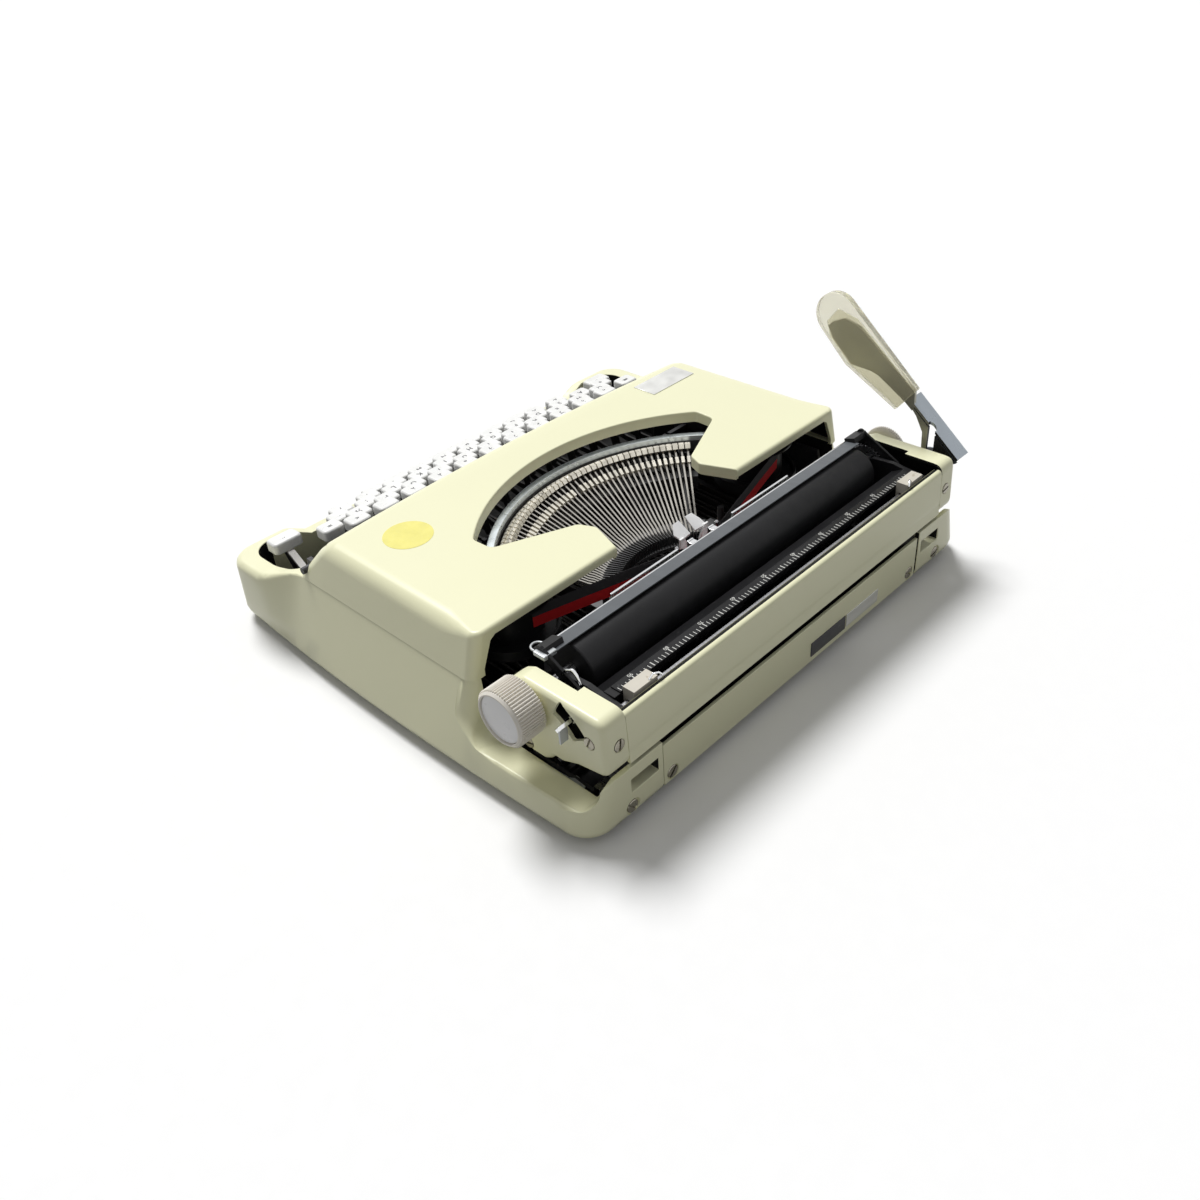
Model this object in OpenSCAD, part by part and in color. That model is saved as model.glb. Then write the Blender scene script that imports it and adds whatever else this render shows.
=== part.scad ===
// Portable manual typewriter with a sliding carriage, type basket, ribbon and keyboard.
// Millimetres, +X to the typist's right, +Y to the rear, +Z up, origin under the middle of the case.

/* [Case] */
// Widest width of the base
body_w = 340; // [332:1:348]
// Depth of the base from nose to rear wall
body_d = 302; // [298:1:308]
// Height of the joint between base and top cover, above the base floor
seam_h = 48; // [47:0.5:50]
// Height of the flat top of the cover, above the base floor
cover_h = 73; // [72:0.5:76]
// Thickness of the painted sheet
skin = 2; // [1.6:0.1:2.4]
// Bow of the base sides from the corners to the middle
side_bow = 4; // [2:0.5:6]
// Corner radius of the base in plan
corner_r = 16; // [12:1:20]
// Height of the rubber feet
foot_h = 4; // [3:0.5:8]
// Radius of the rubber feet
foot_r = 8; // [6:0.5:11]
// Depth of the open bay the carriage runs in
bay_d = 85; // [84:0.5:87]
// Height of the low ledges beside the carriage
ledge_h = 17; // [16:0.25:17.25]
// Depth of the turned-down rim round the type basket opening
rim_d = 7; // [4:0.5:9]

/* [Carriage] */
// Width across the outer faces of the end caps
carriage_w = 300; // [298:1:303]
// Radius of the rubber platen
platen_r = 14.5; // [13.8:0.1:14.7]
// Distance of the platen axis in front of the rear wall
platen_back = 50.8; // [50.4:0.1:51.2]
// Height of the platen axis above the base floor
platen_h = 53.5; // [53:0.1:54]
// Radius of the right platen knob
knob_r = 15.5; // [13:0.25:15.75]
// Length of the right platen knob
knob_len = 16.5; // [14:0.5:17]
// Radius of the thumb wheel at the left end of the platen
wheel_r = 14; // [12:0.25:15]
// Number of grip ribs round the knob and the thumb wheel
knob_ribs = 60; // [36:2:64]
// Height of the top of the end caps above the base floor
cap_h = 65.5; // [65:0.25:67]

/* [Keyboard] */
// Distance between neighbouring keys of a row
key_pitch = 20.4; // [20:0.1:20.6]
// Width of a key top
key_w = 14; // [12:0.25:15]
// Depth of a key top
key_d = 11; // [10:0.25:11]
// Height of a key top
key_t = 7; // [5:0.5:8]
// Distance from row to row, front to back
row_pitch = 14.6; // [14.5:0.1:15]
// Drop from row to row
row_drop = 6; // [5:0.25:6.5]
// Height of the number row above the base floor
key_top_h = 68; // [66:0.5:68.5]
// Thickness of the key levers
lever_t = 1.6; // [1.2:0.1:1.8]

/* [Type basket] */
// Number of type bars
bar_count = 43; // [39:2:43]
// Half angle of the fan of type bars
fan_half = 44; // [42:0.5:46]
// Thickness of a type bar
bar_t = 1.1; // [0.9:0.05:1.2]
// Radius of the arc of type bar pivots
pivot_r = 57; // [56:0.25:58]
// Height of the type bar pivots above the base floor
pivot_h = 28; // [27.75:0.25:29]

/* [Ribbon] */
// Radius of the ribbon spools
spool_r = 23; // [19:0.5:24]
// Width of the ribbon
ribbon_w = 12.7; // [11:0.1:13]

/* [Return lever] */
// Length of the plastic paddle
paddle_len = 80; // [78:1:84]
// Width of the plastic paddle
paddle_w = 28; // [27:0.5:29]

/* [Fits] */
// Radial clearance of turning shafts
run_gap = 0.08; // [0.05:0.01:0.1]
// Clearance between sliding pieces
slide_gap = 0.4; // [0.3:0.05:0.5]

/* [Hidden] */
base_half = body_w / 2;
seam_half = base_half - 14.5;
top_half = seam_half - 6.5;
nose_h = seam_h - 8;
nose_half = base_half - 3.5;
dip_h = nose_h - 9;
cover_rear = -bay_d;
cover_front = -236;
cover_run = 22.5;
hinge_z = seam_h + 5.2;
hinge_y = cover_front + cover_run * (hinge_z - seam_h + 4.8) / (cover_h - seam_h);
hinge_pin_r = 2;
frame_x = base_half - 26;
bay_half = base_half - 21;
spool_x = frame_x - 40;
panel_half = base_half - 56.5;
screw_out = base_half - 34.3;
screw_in = panel_half - 6.7;
slot_out = base_half - 34;
shaft_y = -48;
shaft_z = 6.5;
shaft_r = 2;
rail_top = ledge_h + 1;
rail_front_y = -60;
rail_rear_y = -12;
py = -platen_back;
pz = platen_h;
cap_out = carriage_w / 2;
cap_in = cap_out - 14.5;
plate_in = cap_in - 7.5;
platen_len = 2 * plate_in - 16;
bail_len = 2 * plate_in - 12;
plate_t = 3;
axle_r = 3;
feed_r = 6;
feed_gap = 0.3;
feed_d = platen_r + feed_r + feed_gap;
feed_dx = feed_d * sin(30);
feed_dz = feed_d * cos(30);
key_x0 = -109.9;
row_y1 = -228;
bar_y = row_y1 - 3 * row_pitch - key_d / 2 - 7;
key_front = bar_y - 4 - 2.6;
print_y = py - platen_r * cos(15) - 1.5;
print_z = pz + platen_r * sin(15);
axis_y = print_y + 0.8;
strike_r = 0.8;
bar_len = sqrt(pow(pivot_r - strike_r, 2) + pow(print_z - pivot_h, 2));
rest_a = 29.3;
strike_a = 180 - atan2(print_z - pivot_h, pivot_r - strike_r);
swing_a = strike_a - rest_a;
face_a = 180 - swing_a;
slug_d = 4;
tip_r = pivot_r + bar_len * cos(rest_a);
tip_z = pivot_h + bar_len * sin(rest_a);
neck_r = tip_r - slug_d * cos(face_a);
neck_z = tip_z - slug_d * sin(face_a);
wire_r = 0.6;
fan_step = 2 * fan_half / (bar_count - 1);
mid_bar = (bar_count - 1) / 2;
rest_r = 98;
rest_top = pivot_h + (rest_r - 4 - pivot_r) * (neck_z - pivot_h) / (neck_r - pivot_r) - 2.2;
crescent_r = tip_r + 4.5;
spool_y = -113;
ribbon_z = 46.6;
ribbon_y = print_y + 0.35;
ribbon_pack_r = spool_r - 6;
post_x = 50;
post_y = -97;
bail_r = platen_r + 2.2;
bail_pivot_y = py + 19;
bail_pivot_z = pz + 3;
release_y = py + 7.8;
release_z = pz - 22;
release_a = 51.2;
release_r = 31.8;
lever_x = -(cap_out + 6.5);
lever_y = -22;
rack_front = -25.5;
pinion_r = 12 * 2.54 / (2 * PI);
wheel_len = 5;
knob_deep = 12;
wheel_deep = 3.5;
cream = [0.93, 0.91, 0.72];
ivory = [0.9, 0.87, 0.78];
steel = [0.62, 0.63, 0.65];
chrome = [0.8, 0.81, 0.83];
black = [0.07, 0.07, 0.08];
dark = [0.2, 0.2, 0.21];

// Shared placing helpers
module place() {
    translate([0, body_d / 2, foot_h]) children();
}

module yz_plate(x0, t) {
    translate([x0, 0, 0]) rotate([90, 0, 90]) linear_extrude(t) children();
}

module xz_plate(y0, t) {
    translate([0, y0 + t, 0]) rotate([90, 0, 0]) linear_extrude(t) children();
}

module x_rod(x0, x1, y, z, r, n = 48) {
    translate([x0, y, z]) rotate([0, 90, 0]) cylinder(h = x1 - x0, r = r, $fn = n);
}

module y_rod(y0, y1, x, z, r, n = 32) {
    translate([x, y1, z]) rotate([90, 0, 0]) cylinder(h = y1 - y0, r = r, $fn = n);
}

module block(x0, x1, y0, y1, z0, z1) {
    translate([x0, y0, z0]) cube([x1 - x0, y1 - y0, z1 - z0]);
}

module plan(h, y0, y1, r) {
    translate([-h + r, y0]) square([2 * h - 2 * r, y1 - y0]);
    translate([-h, y0 + r]) square([2 * h, y1 - y0 - 2 * r]);
    for (x = [-h + r, h - r])
        for (y = [y0 + r, y1 - r])
            translate([x, y]) circle(r, $fn = 48);
}

module both_sides() {
    children();
    mirror([1, 0, 0]) children();
}

// Painted base: a deep tray with a keyboard opening, low ledges and an open carriage bay
module base_form(e) {
    hull() {
        translate([0, 0, e]) linear_extrude(6) union() {
            plan(base_half - side_bow - e, -body_d + e, -e, corner_r - e);
            translate([-base_half + e, -body_d / 2 - 30]) square([2 * base_half - 2 * e, 60]);
        }
        translate([0, 0, nose_h - 1 - e]) linear_extrude(1)
            plan(nose_half - e, -body_d + 4 + e, -body_d + 10 + 2 * corner_r, corner_r);
        translate([0, 0, seam_h - 1 - e]) linear_extrude(1)
            plan(seam_half - e, cover_front - 2 + e, -e, corner_r - e);
    }
}

module front_dip(e) {
    xz_plate(-body_d - 1, 30) polygon([[-128 - e, 60], [-128 - e, nose_h], [-112 - e, dip_h - e],
        [112 + e, dip_h - e], [128 + e, nose_h], [128 + e, 60]]);
}

module bay_cut() {
    yz_plate(-base_half - 1, 2 * base_half + 2)
        polygon([[-bay_d, 120], [-bay_d, ledge_h + 9], [-bay_d + 3, ledge_h + 3.5], [-bay_d + 9, ledge_h],
            [-9, ledge_h], [-5.5, ledge_h + 2], [-4, ledge_h + 6], [-3.2, 31.6], [2, 31.6], [2, 120]]);
    both_sides() xz_plate(-30, 32)
        polygon([[base_half - 24, 31.6], [base_half + 2, ledge_h + 1], [base_half + 2, 50], [base_half - 24, 50]]);
}

module base_shell() {
    color(cream) place() difference() {
        union() {
            difference() {
                base_form(0);
                front_dip(0);
                difference() {
                    base_form(skin);
                    front_dip(skin);
                }
            }
            intersection() {
                base_form(0);
                both_sides() union() {
                    block(bay_half + 4.5, base_half, -bay_d - skin, 0, ledge_h - 5, 60);
                    block(bay_half, base_half, -bay_d - skin, -bay_d + 10, ledge_h - 5, 60);
                }
            }
        }
        bay_cut();
        translate([0, 0, skin + 1]) linear_extrude(60) plan(bay_half, -254, -bay_d - skin, 4);
        translate([0, 0, skin + 6]) linear_extrude(60) plan(base_half - 16.5, key_front, -240, 13);
        block(-bay_half, bay_half, -bay_d - skin - 1, -skin - 8, skin, 60);
        block(-panel_half - slide_gap, panel_half + slide_gap, -skin - 3, 1, skin, 60);
        both_sides() union() {
            block(slot_out - 19, slot_out, -skin - 3, 1, 16, 24);
            y_rod(-skin - 1, 1, screw_out, 6.5, 1.7);
            y_rod(-1.3, 1, screw_out, 6.5, 3.9);
        }
    }
}

// Painted panel between the rear corners of the base, held by two screws
module rear_panel() {
    color(cream) place() difference() {
        block(-panel_half, panel_half, -2.6, -0.6, skin, 28.2);
        both_sides() union() {
            y_rod(-3, 0, screw_in, 6.9, 1.7);
            y_rod(-1.6, 0, screw_in, 6.9, 3.9);
        }
    }
}

module rubber_feet() {
    color(black) place() both_sides() for (y = [-body_d + 42, -26])
        translate([base_half - 26, y, -foot_h]) cylinder(h = foot_h, r1 = foot_r - 1, r2 = foot_r, $fn = 48);
}

// Steel inner frame: two side plates, slotted lever comb, cross bars and basket guide posts
function lever_positions() = concat(
    [for (i = [0 : 11]) key_x0 + key_pitch * i],
    [for (i = [0 : 11]) key_x0 + key_pitch * (i + 0.5)],
    [for (i = [-1 : 10]) key_x0 + key_pitch * (i + 0.75)],
    [for (i = [-2, 0, 1, 2, 3, 4, 5, 6, 7, 8, 9, 11]) key_x0 + key_pitch * (i + 1.25)],
    [for (i = [2, 8]) key_x0 + key_pitch * (i + 0.375)]);

module chassis() {
    color(steel) place() difference() {
        union() {
            both_sides() yz_plate(frame_x, 2)
                polygon([[-215, skin], [-4, skin], [-4, ledge_h - 3], [-bay_d - 4, ledge_h - 3],
                    [-bay_d - 8, seam_h - 6], [-215, seam_h - 6]]);
            difference() {
                block(-frame_x, frame_x, -206, -203, skin, 27);
                for (x = lever_positions())
                    block(x - lever_t / 2 - 0.5, x + lever_t / 2 + 0.5, -210, -200, skin + 1.2, 30);
            }
            block(-frame_x, frame_x, -101, -93, 14, 15.6);
            block(-frame_x, frame_x, -5, -2.6, skin, 12);
            both_sides() translate([post_x, post_y, 15]) cylinder(h = 29, r = 2, $fn = 48);
        }
        x_rod(-200, 200, shaft_y, shaft_z, shaft_r);
        both_sides() for (y = [rail_front_y, rail_rear_y])
            block(frame_x - 1, frame_x + 4, y - 3, y + 3, rail_top - 6, rail_top);
        x_rod(frame_x - 1, frame_x + 4, -30, 10, 2 + run_gap);
        both_sides() y_rod(-6, -2, screw_out, 6.5, 1.6);
        both_sides() y_rod(-6, -2, screw_in, 6.9, 1.6);
    }
}

module carriage_rails() {
    color(chrome) place() union() {
        block(-frame_x - 2, frame_x + 2, rail_front_y - 3, rail_front_y + 3, rail_top - 6, rail_top);
        block(-frame_x - 2, frame_x + 2, rail_rear_y - 3, rail_rear_y + 3, rail_top - 6, rail_top);
    }
}

module fulcrum_shaft() {
    color(chrome) place() x_rod(-frame_x - 4, frame_x + 4, shaft_y, shaft_z, shaft_r);
}

// Hinge pins of the top cover on small posts that stand on the base rim
module cover_hinge_pins() {
    color(steel) place() both_sides() union() {
        x_rod(seam_half - 10, seam_half + 0.4, hinge_y, hinge_z, hinge_pin_r);
        block(seam_half - 9, seam_half - 6, hinge_y - 4, hinge_y + 4, seam_h, hinge_z + 3.5);
        block(seam_half - 9, seam_half - 5, hinge_y - 4, hinge_y + 4, seam_h, seam_h + 1.4);
    }
}

module spool_cups() {
    color(black) place() both_sides() translate([spool_x, spool_y, 0]) union() {
        difference() {
            translate([0, 0, 36]) cylinder(h = 6, r = spool_r + 3, $fn = 96);
            translate([0, 0, 37.5]) cylinder(h = 10, r = spool_r + 1.5, $fn = 96);
        }
        translate([0, 0, 36]) cylinder(h = 22, r = 2.5, $fn = 48);
        block(-3, 3, 13, 18, 15.6, 36.5);
    }
}

module ribbon_path(s, w) {
    points = [[spool_x, spool_y + ribbon_pack_r + w / 2 + 0.05], [17, -71.2], [9, ribbon_y], [-9, ribbon_y],
        [-17, -71.2], [-spool_x, spool_y + ribbon_pack_r + w / 2 + 0.05]];
    for (i = [0 : 4])
        let (a = points[i], b = points[i + 1], n = [b[1] - a[1], a[0] - b[0]] / norm(b - a) * w / 2)
            polygon([a + n, b + n, b - n, a - n]);
    for (i = [1 : 4])
        translate(points[i]) circle(w / 2, $fn = 16);
}

module ribbon() {
    color(black) place() translate([0, 0, ribbon_z]) linear_extrude(ribbon_w) ribbon_path(1, 0.3);
}

// Bracket in front of the platen with two clear card plates, ribbon posts and the type guide
module card_holder() {
    color(steel) place() union() {
        block(-76, 76, -75, -72, 40, 45);
        both_sides() union() {
            yz_plate(70, 4) polygon([[-98, 15.6], [-94, 15.6], [-72, 41], [-72, 45], [-76, 45]]);
            block(70, 76, -73, print_y - 0.4, 42, 45);
            block(22, 76, print_y - 1.2, print_y - 0.4, 45, 64);
            block(70, 76, print_y - 1.2, print_y - 0.4, 42, 46);
            translate([17, -73.2, 44]) cylinder(h = 16, r = 1.2, $fn = 32);
            block(4.5, 12, -76.2, -75, 40, 61);
        }
    }
}

module screw_y(x, y, z) {
    difference() {
        union() {
            y_rod(y - 1.2, y, x, z, 3.6);
            y_rod(y - 3, y - 1, x, z, 1.5);
        }
        block(x - 5, x + 5, y - 0.6, y + 1, z - 0.45, z + 0.45);
    }
}

module body_screws() {
    color(chrome) place() both_sides() union() {
        screw_y(screw_out, -0.1, 6.5);
        screw_y(screw_in, -0.4, 6.9);
    }
}

// Two bare plates on the rear panel
module label_plates() {
    color(dark) place() union() {
        block(-39.5, -7, -0.6, -0.1, 6, 15);
        block(-72, -40.5, -0.6, -0.1, 6.5, 15);
    }
}

// Painted top cover with the type basket opening, hinged at its front lower corners
module cover_form(e, low) {
    top_front = cover_front + cover_run;
    hull() {
        translate([0, 0, seam_h + low]) linear_extrude(0.5)
            plan(seam_half - e, cover_front + e, cover_rear - e, 5);
        translate([0, 0, cover_h - 0.5 - e]) linear_extrude(0.5)
            polygon(concat([[top_half - e, cover_rear - e], [-top_half + e, cover_rear - e]],
                [for (i = [-12 : 12])
                    let (s = i / 12, x = s * (top_half - 1 - e))
                        [x, top_front + e - 6.5 * (1 - s * s)]]));
    }
}

module basket_opening() {
    offset(r = 5, $fn = 48) offset(r = -10, $fn = 48) offset(r = 5, $fn = 48) union() {
        intersection() {
            translate([0, -54.5]) circle(134, $fn = 180);
            polygon([[-140, -150], [-91, -140], [-47, -117], [47, -117], [91, -140], [140, -150],
                [140, -220], [-140, -220]]);
        }
        polygon([[-48, -119], [-43, -107], [-52, -82], [-60, -60], [60, -60], [52, -82], [43, -107], [48, -119]]);
    }
}

module top_cover() {
    color(cream) place() difference() {
        union() {
            difference() {
                cover_form(0, 0);
                cover_form(skin, -1);
                xz_plate(cover_front - 5, 45) polygon([[-seam_half + skin, seam_h - 2], [seam_half - skin, seam_h - 2],
                    [top_half - skin + 0.4, cover_h - 3.2], [-top_half + skin - 0.4, cover_h - 3.2]]);
                block(-top_half + 3, top_half - 3, cover_rear - 6, cover_rear + 5, seam_h - 2, cover_h - 5);
            }
            intersection() {
                cover_form(0, 0);
                translate([0, 0, cover_h - rim_d]) linear_extrude(rim_d) difference() {
                    offset(r = 2, $fn = 48) basket_opening();
                    basket_opening();
                }
            }
        }
        translate([0, 0, seam_h]) linear_extrude(60) basket_opening();
        both_sides() union() {
            x_rod(top_half - 4, base_half, hinge_y, hinge_z, hinge_pin_r + run_gap);
            difference() {
                block(top_half - 4, base_half, cover_front - 2, hinge_y, seam_h - 1, hinge_z);
                x_rod(top_half - 6, base_half + 2, hinge_y, hinge_z, 5.1);
            }
        }
    }
}

module cover_badge() {
    color(chrome) place() block(-135, -95, -206, -188, cover_h, cover_h + 0.6);
}

// Keys: dished plastic tops on flat steel levers that share one shaft
module key_cap(w) {
    difference() {
        translate([0, 0, -key_t]) linear_extrude(key_t) {
            square([w - 5, key_d], center = true);
            square([w, key_d - 5], center = true);
            for (x = [-w / 2 + 2.5, w / 2 - 2.5])
                for (y = [-key_d / 2 + 2.5, key_d / 2 - 2.5])
                    translate([x, y]) circle(2.5, $fn = 32);
        }
        translate([0, 0, 39.2]) sphere(40, $fn = 96);
    }
}

function row_y(r) = row_y1 - row_pitch * r;
function row_z(r) = key_top_h - row_drop * r;

module lever_bar(yk, zb) {
    yz_plate(-lever_t / 2, lever_t) difference() {
        union() {
            polygon([[shaft_y, shaft_z - 3.3], [yk + 22, 16.8], [yk + 10, 19.4], [yk - 2.5, zb - 5], [yk - 2.5, zb],
                [yk + 2.5, zb], [yk + 2.5, zb - 4], [yk + 14, 23], [yk + 24, 20.6], [shaft_y, shaft_z + 3.3]]);
            translate([shaft_y, shaft_z]) circle(4.2, $fn = 48);
        }
        translate([shaft_y, shaft_z]) circle(shaft_r + run_gap, $fn = 48);
    }
}

module row_caps(r, first, last, skip = -9) {
    shift = [0, 0.5, 0.75, 1.25][r];
    color(ivory) place() for (i = [first : last])
        if (i != skip)
            translate([key_x0 + key_pitch * (i + shift), row_y(r), row_z(r)]) key_cap(key_w);
}

module row_levers(r, first, last, skip = -9) {
    shift = [0, 0.5, 0.75, 1.25][r];
    color(steel) place() for (i = [first : last])
        if (i != skip)
            translate([key_x0 + key_pitch * (i + shift), 0, 0]) lever_bar(row_y(r), row_z(r) - key_t);
}

module single_key(r, i, w = key_w) {
    shift = [0, 0.5, 0.75, 1.25][r];
    translate([key_x0 + key_pitch * (i + shift), 0, 0]) union() {
        translate([0, row_y(r), row_z(r)]) key_cap(w);
        lever_bar(row_y(r), row_z(r) - key_t);
    }
}

module number_row_caps() {
    row_caps(0, 1, 10);
}

module number_row_levers() {
    row_levers(0, 1, 10);
}

module upper_row_caps() {
    row_caps(1, 0, 11);
}

module upper_row_levers() {
    row_levers(1, 0, 11);
}

module home_row_caps() {
    row_caps(2, 0, 10, 5);
}

module home_row_levers() {
    row_levers(2, 0, 10, 5);
}

module lower_row_caps() {
    row_caps(3, 0, 9);
}

module lower_row_levers() {
    row_levers(3, 0, 9);
}

module sample_key() {
    color(ivory) place() single_key(2, 5);
}

module space_bar() {
    color(ivory) place() union() {
        block(-74, 74, bar_y - 4, bar_y + 4, 39, 44);
        for (i = [2, 8])
            translate([key_x0 + key_pitch * (i + 0.375), 0, 0]) union() {
                lever_bar(bar_y + 1.8, 30);
                block(-lever_t / 2, lever_t / 2, bar_y - 0.7, bar_y + 4, 29.5, 39);
            }
    }
}

module shift_keys() {
    color(ivory) place() union() {
        single_key(3, -2, 19);
        single_key(3, 11, 19);
        block(key_x0 + key_pitch * -0.75, key_x0 + key_pitch * 12.25, shaft_y + 6, shaft_y + 9, 5, 8);
        for (i = [-0.75, 12.25])
            block(key_x0 + key_pitch * i - lever_t / 2, key_x0 + key_pitch * i + lever_t / 2,
                shaft_y + 3, shaft_y + 9, 4.5, 8);
    }
}

module shift_lock_key() {
    color(ivory) place() single_key(2, -1);
}

module margin_release_key() {
    color(ivory) place() single_key(0, 0);
}

module backspace_key() {
    color(ivory) place() single_key(0, 11);
}

// Type basket: slotted segment with the pivot wire, rest with pad, and the fan of type bars
module fan_turn(a) {
    translate([0, axis_y, 0]) rotate([0, 0, a]) children();
}

module arc_ring(r0, r1, z0, z1, half) {
    translate([0, axis_y, z0]) rotate([0, 0, 270 - half]) rotate_extrude(angle = 2 * half, $fn = 180)
        translate([r0, 0]) square([r1 - r0, z1 - z0]);
}

module segment() {
    color(dark) place() union() {
        difference() {
            union() {
                arc_ring(pivot_r - 7, pivot_r + 7, pivot_h - 6, pivot_h + 4, fan_half + 5);
                both_sides() difference() {
                    block(post_x - 14, post_x + 5, post_y - 12, post_y + 5, pivot_h - 6, pivot_h + 1);
                    fan_turn(fan_half + 2) block(-40, 0, -90, 0, 0, 60);
                    translate([post_x, post_y, 0]) cylinder(h = 60, r = 2 + run_gap, $fn = 48);
                }
            }
            for (i = [0 : bar_count - 1])
                fan_turn((i - mid_bar) * fan_step)
                    block(-bar_t / 2 - 0.25, bar_t / 2 + 0.25, -pivot_r - 9, -pivot_r + 9, pivot_h - 3.5, pivot_h + 6);
        }
        translate([0, axis_y, pivot_h]) rotate([0, 0, 270 - fan_half - 3])
            rotate_extrude(angle = 2 * fan_half + 6, $fn = 180) translate([pivot_r, 0]) circle(wire_r, $fn = 24);
    }
}

module type_rest() {
    color(chrome) place() union() {
        arc_ring(rest_r - 4, rest_r + 3, rest_top - 8, rest_top, fan_half + 3);
        arc_ring(crescent_r, crescent_r + 3.5, tip_z - 9, tip_z - 1, fan_half + 6);
        for (a = [-42, -20, 20, 42])
            fan_turn(a) rotate([0, 0, -90]) rotate([90, 0, 0]) translate([0, 0, -1.5]) linear_extrude(3)
                polygon([[pivot_r + 7, pivot_h - 6], [pivot_r + 7, pivot_h - 3.6],
                    [rest_r - 4, rest_top - 3.4], [rest_r, rest_top - 3.4], [crescent_r + 1, tip_z - 6],
                    [crescent_r + 1, tip_z - 9], [rest_r, rest_top - 8], [pivot_r + 14, pivot_h - 6]]);
    }
}

module typebar() {
    a = atan2(neck_z - pivot_h, neck_r - pivot_r);
    len = norm([neck_r - pivot_r, neck_z - pivot_h]);
    rotate([0, 0, -90]) rotate([90, 0, 0]) union() {
        translate([0, 0, -bar_t / 2]) linear_extrude(bar_t) difference() {
            translate([pivot_r, pivot_h]) union() {
                rotate(a) translate([0, -1.3]) square([len, 2.6]);
                circle(2.4, $fn = 32);
            }
            translate([pivot_r, pivot_h]) circle(wire_r + run_gap, $fn = 32);
        }
        translate([tip_r, tip_z, -1.5]) rotate([0, 0, face_a]) translate([-slug_d, -4.5, 0]) cube([slug_d, 9, 3]);
    }
}

module typebars() {
    color(steel) place() for (i = [0 : bar_count - 1])
        if (i != mid_bar)
            fan_turn((i - mid_bar) * fan_step) typebar();
}

module sample_typebar() {
    color(steel) place() fan_turn(0) typebar();
}

module ribbon_vibrator() {
    color(chrome) place() union() {
        block(-11, 11, -71.4, -70.2, 30, 38);
        both_sides() union() {
            block(6.5, 11, -71.4, -70.2, 37, 61.6);
            block(6.5, 11, -71.4, print_y + 0.5, ribbon_z + ribbon_w + 0.7, ribbon_z + ribbon_w + 1.9);
        }
    }
}

// Ribbon spools with the wound ribbon on plain posts
module spool() {
    difference() {
        union() {
            translate([0, 0, 38]) cylinder(h = 1.4, r = spool_r, $fn = 96);
            translate([0, 0, 39.4]) cylinder(h = ribbon_w + 8, r = ribbon_pack_r, $fn = 96);
            translate([0, 0, 47.4 + ribbon_w]) cylinder(h = 1.2, r = spool_r, $fn = 96);
        }
        translate([0, 0, 30]) cylinder(h = 60, r = 2.5 + run_gap, $fn = 48);
        for (a = [0 : 60 : 300])
            rotate([0, 0, a]) translate([spool_r - 9.5, 0, 47 + ribbon_w]) cylinder(h = 8, r = 2.4, $fn = 24);
    }
}

module left_spool() {
    color(black) place() translate([-spool_x, spool_y, 0]) spool();
}

module right_spool() {
    color(black) place() translate([spool_x, spool_y, 0]) spool();
}

// Carriage frame: two end plates and two runners on the rails, with the escapement rack
module carriage_frame() {
    color(dark) place() difference() {
        union() {
            both_sides() yz_plate(plate_in, plate_t)
                polygon([[-63, rail_top], [-57, rail_top], [-57, 22], [-22, 22], [-22, rail_top], [-9, rail_top],
                    [-5, 36], [-6, 58], [-24, 60], [-30, 61], [-44, 60], [-62, 46]]);
            block(-plate_in, plate_in, rail_front_y - 3, rail_front_y + 3, rail_top, rail_top + 5);
            block(-plate_in, plate_in, -22, rail_rear_y + 3, rail_top, rail_top + 5);
            difference() {
                block(-plate_in + 2, plate_in - 2, rack_front, -22, rail_top, rail_top + 4);
                for (i = [-49 : 49])
                    translate([2.54 * i, rack_front - 0.1, 0])
                        linear_extrude(40) polygon([[-0.8, -0.1], [0.8, -0.1], [0.35, 1.3], [-0.35, 1.3]]);
            }
            both_sides() block(plate_in + plate_t, cap_out - skin, -14, -8, 40, 43);
        }
        x_rod(-200, 200, py, pz, axle_r + run_gap);
        x_rod(-200, 200, py - feed_dx, pz - feed_dz, 2 + run_gap);
        x_rod(-200, 200, py + feed_dx, pz - feed_dz, 2 + run_gap);
        x_rod(-200, 200, bail_pivot_y, bail_pivot_z, 1.5 + run_gap);
        x_rod(0, 200, release_y, release_z, 2 + run_gap);
    }
}

module carriage_rear_panel() {
    color(cream) place() yz_plate(-cap_in + 0.3, 2 * cap_in - 0.6)
        polygon([[-0.4, 33.6], [-2.4, 33.6], [-4, 60.5], [-7, 60.5], [-7, 62.6], [-2.2, 62.6], [-1.8, 61.5]]);
}

// Painted end caps of the carriage
module cap_outline(e) {
    offset(delta = -e) polygon([[-66, 46], [-66, 33], [-61, 24], [-52, 20.3], [-43, 20.3], [-39, 23], [-36, 26.5],
        [-31, 26], [-20, 30.5], [-4, 34], [-0.6, 34], [-1.8, 60], [-2.8, cap_h - 2], [-5, cap_h],
        [-54, cap_h], [-60, cap_h - 3], [-66, cap_h - 8.5]]);
}

module end_cap() {
    difference() {
        yz_plate(cap_in, cap_out - cap_in) cap_outline(0);
        yz_plate(cap_in - 1, cap_out - cap_in + 1 - skin) cap_outline(skin);
        x_rod(cap_in, cap_out + 1, py, pz, axle_r + 0.6);
        block(cap_in - 1, cap_in + 4, py - 20, py + 24, pz - 4, 80);
        for (p = [[-53.7, 25.5], [-11, 50.4]]) {
            x_rod(cap_out - 4, cap_out + 1, p[0], p[1], 1.7, 32);
            x_rod(cap_out - 0.9, cap_out + 1, p[0], p[1], 3.4, 32);
        }
        y_rod(-6, 1, cap_out - 9.2, 48.6, 1.7);
        y_rod(-2, 1, cap_out - 9.2, 48.6, 3.4);
    }
}

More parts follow.
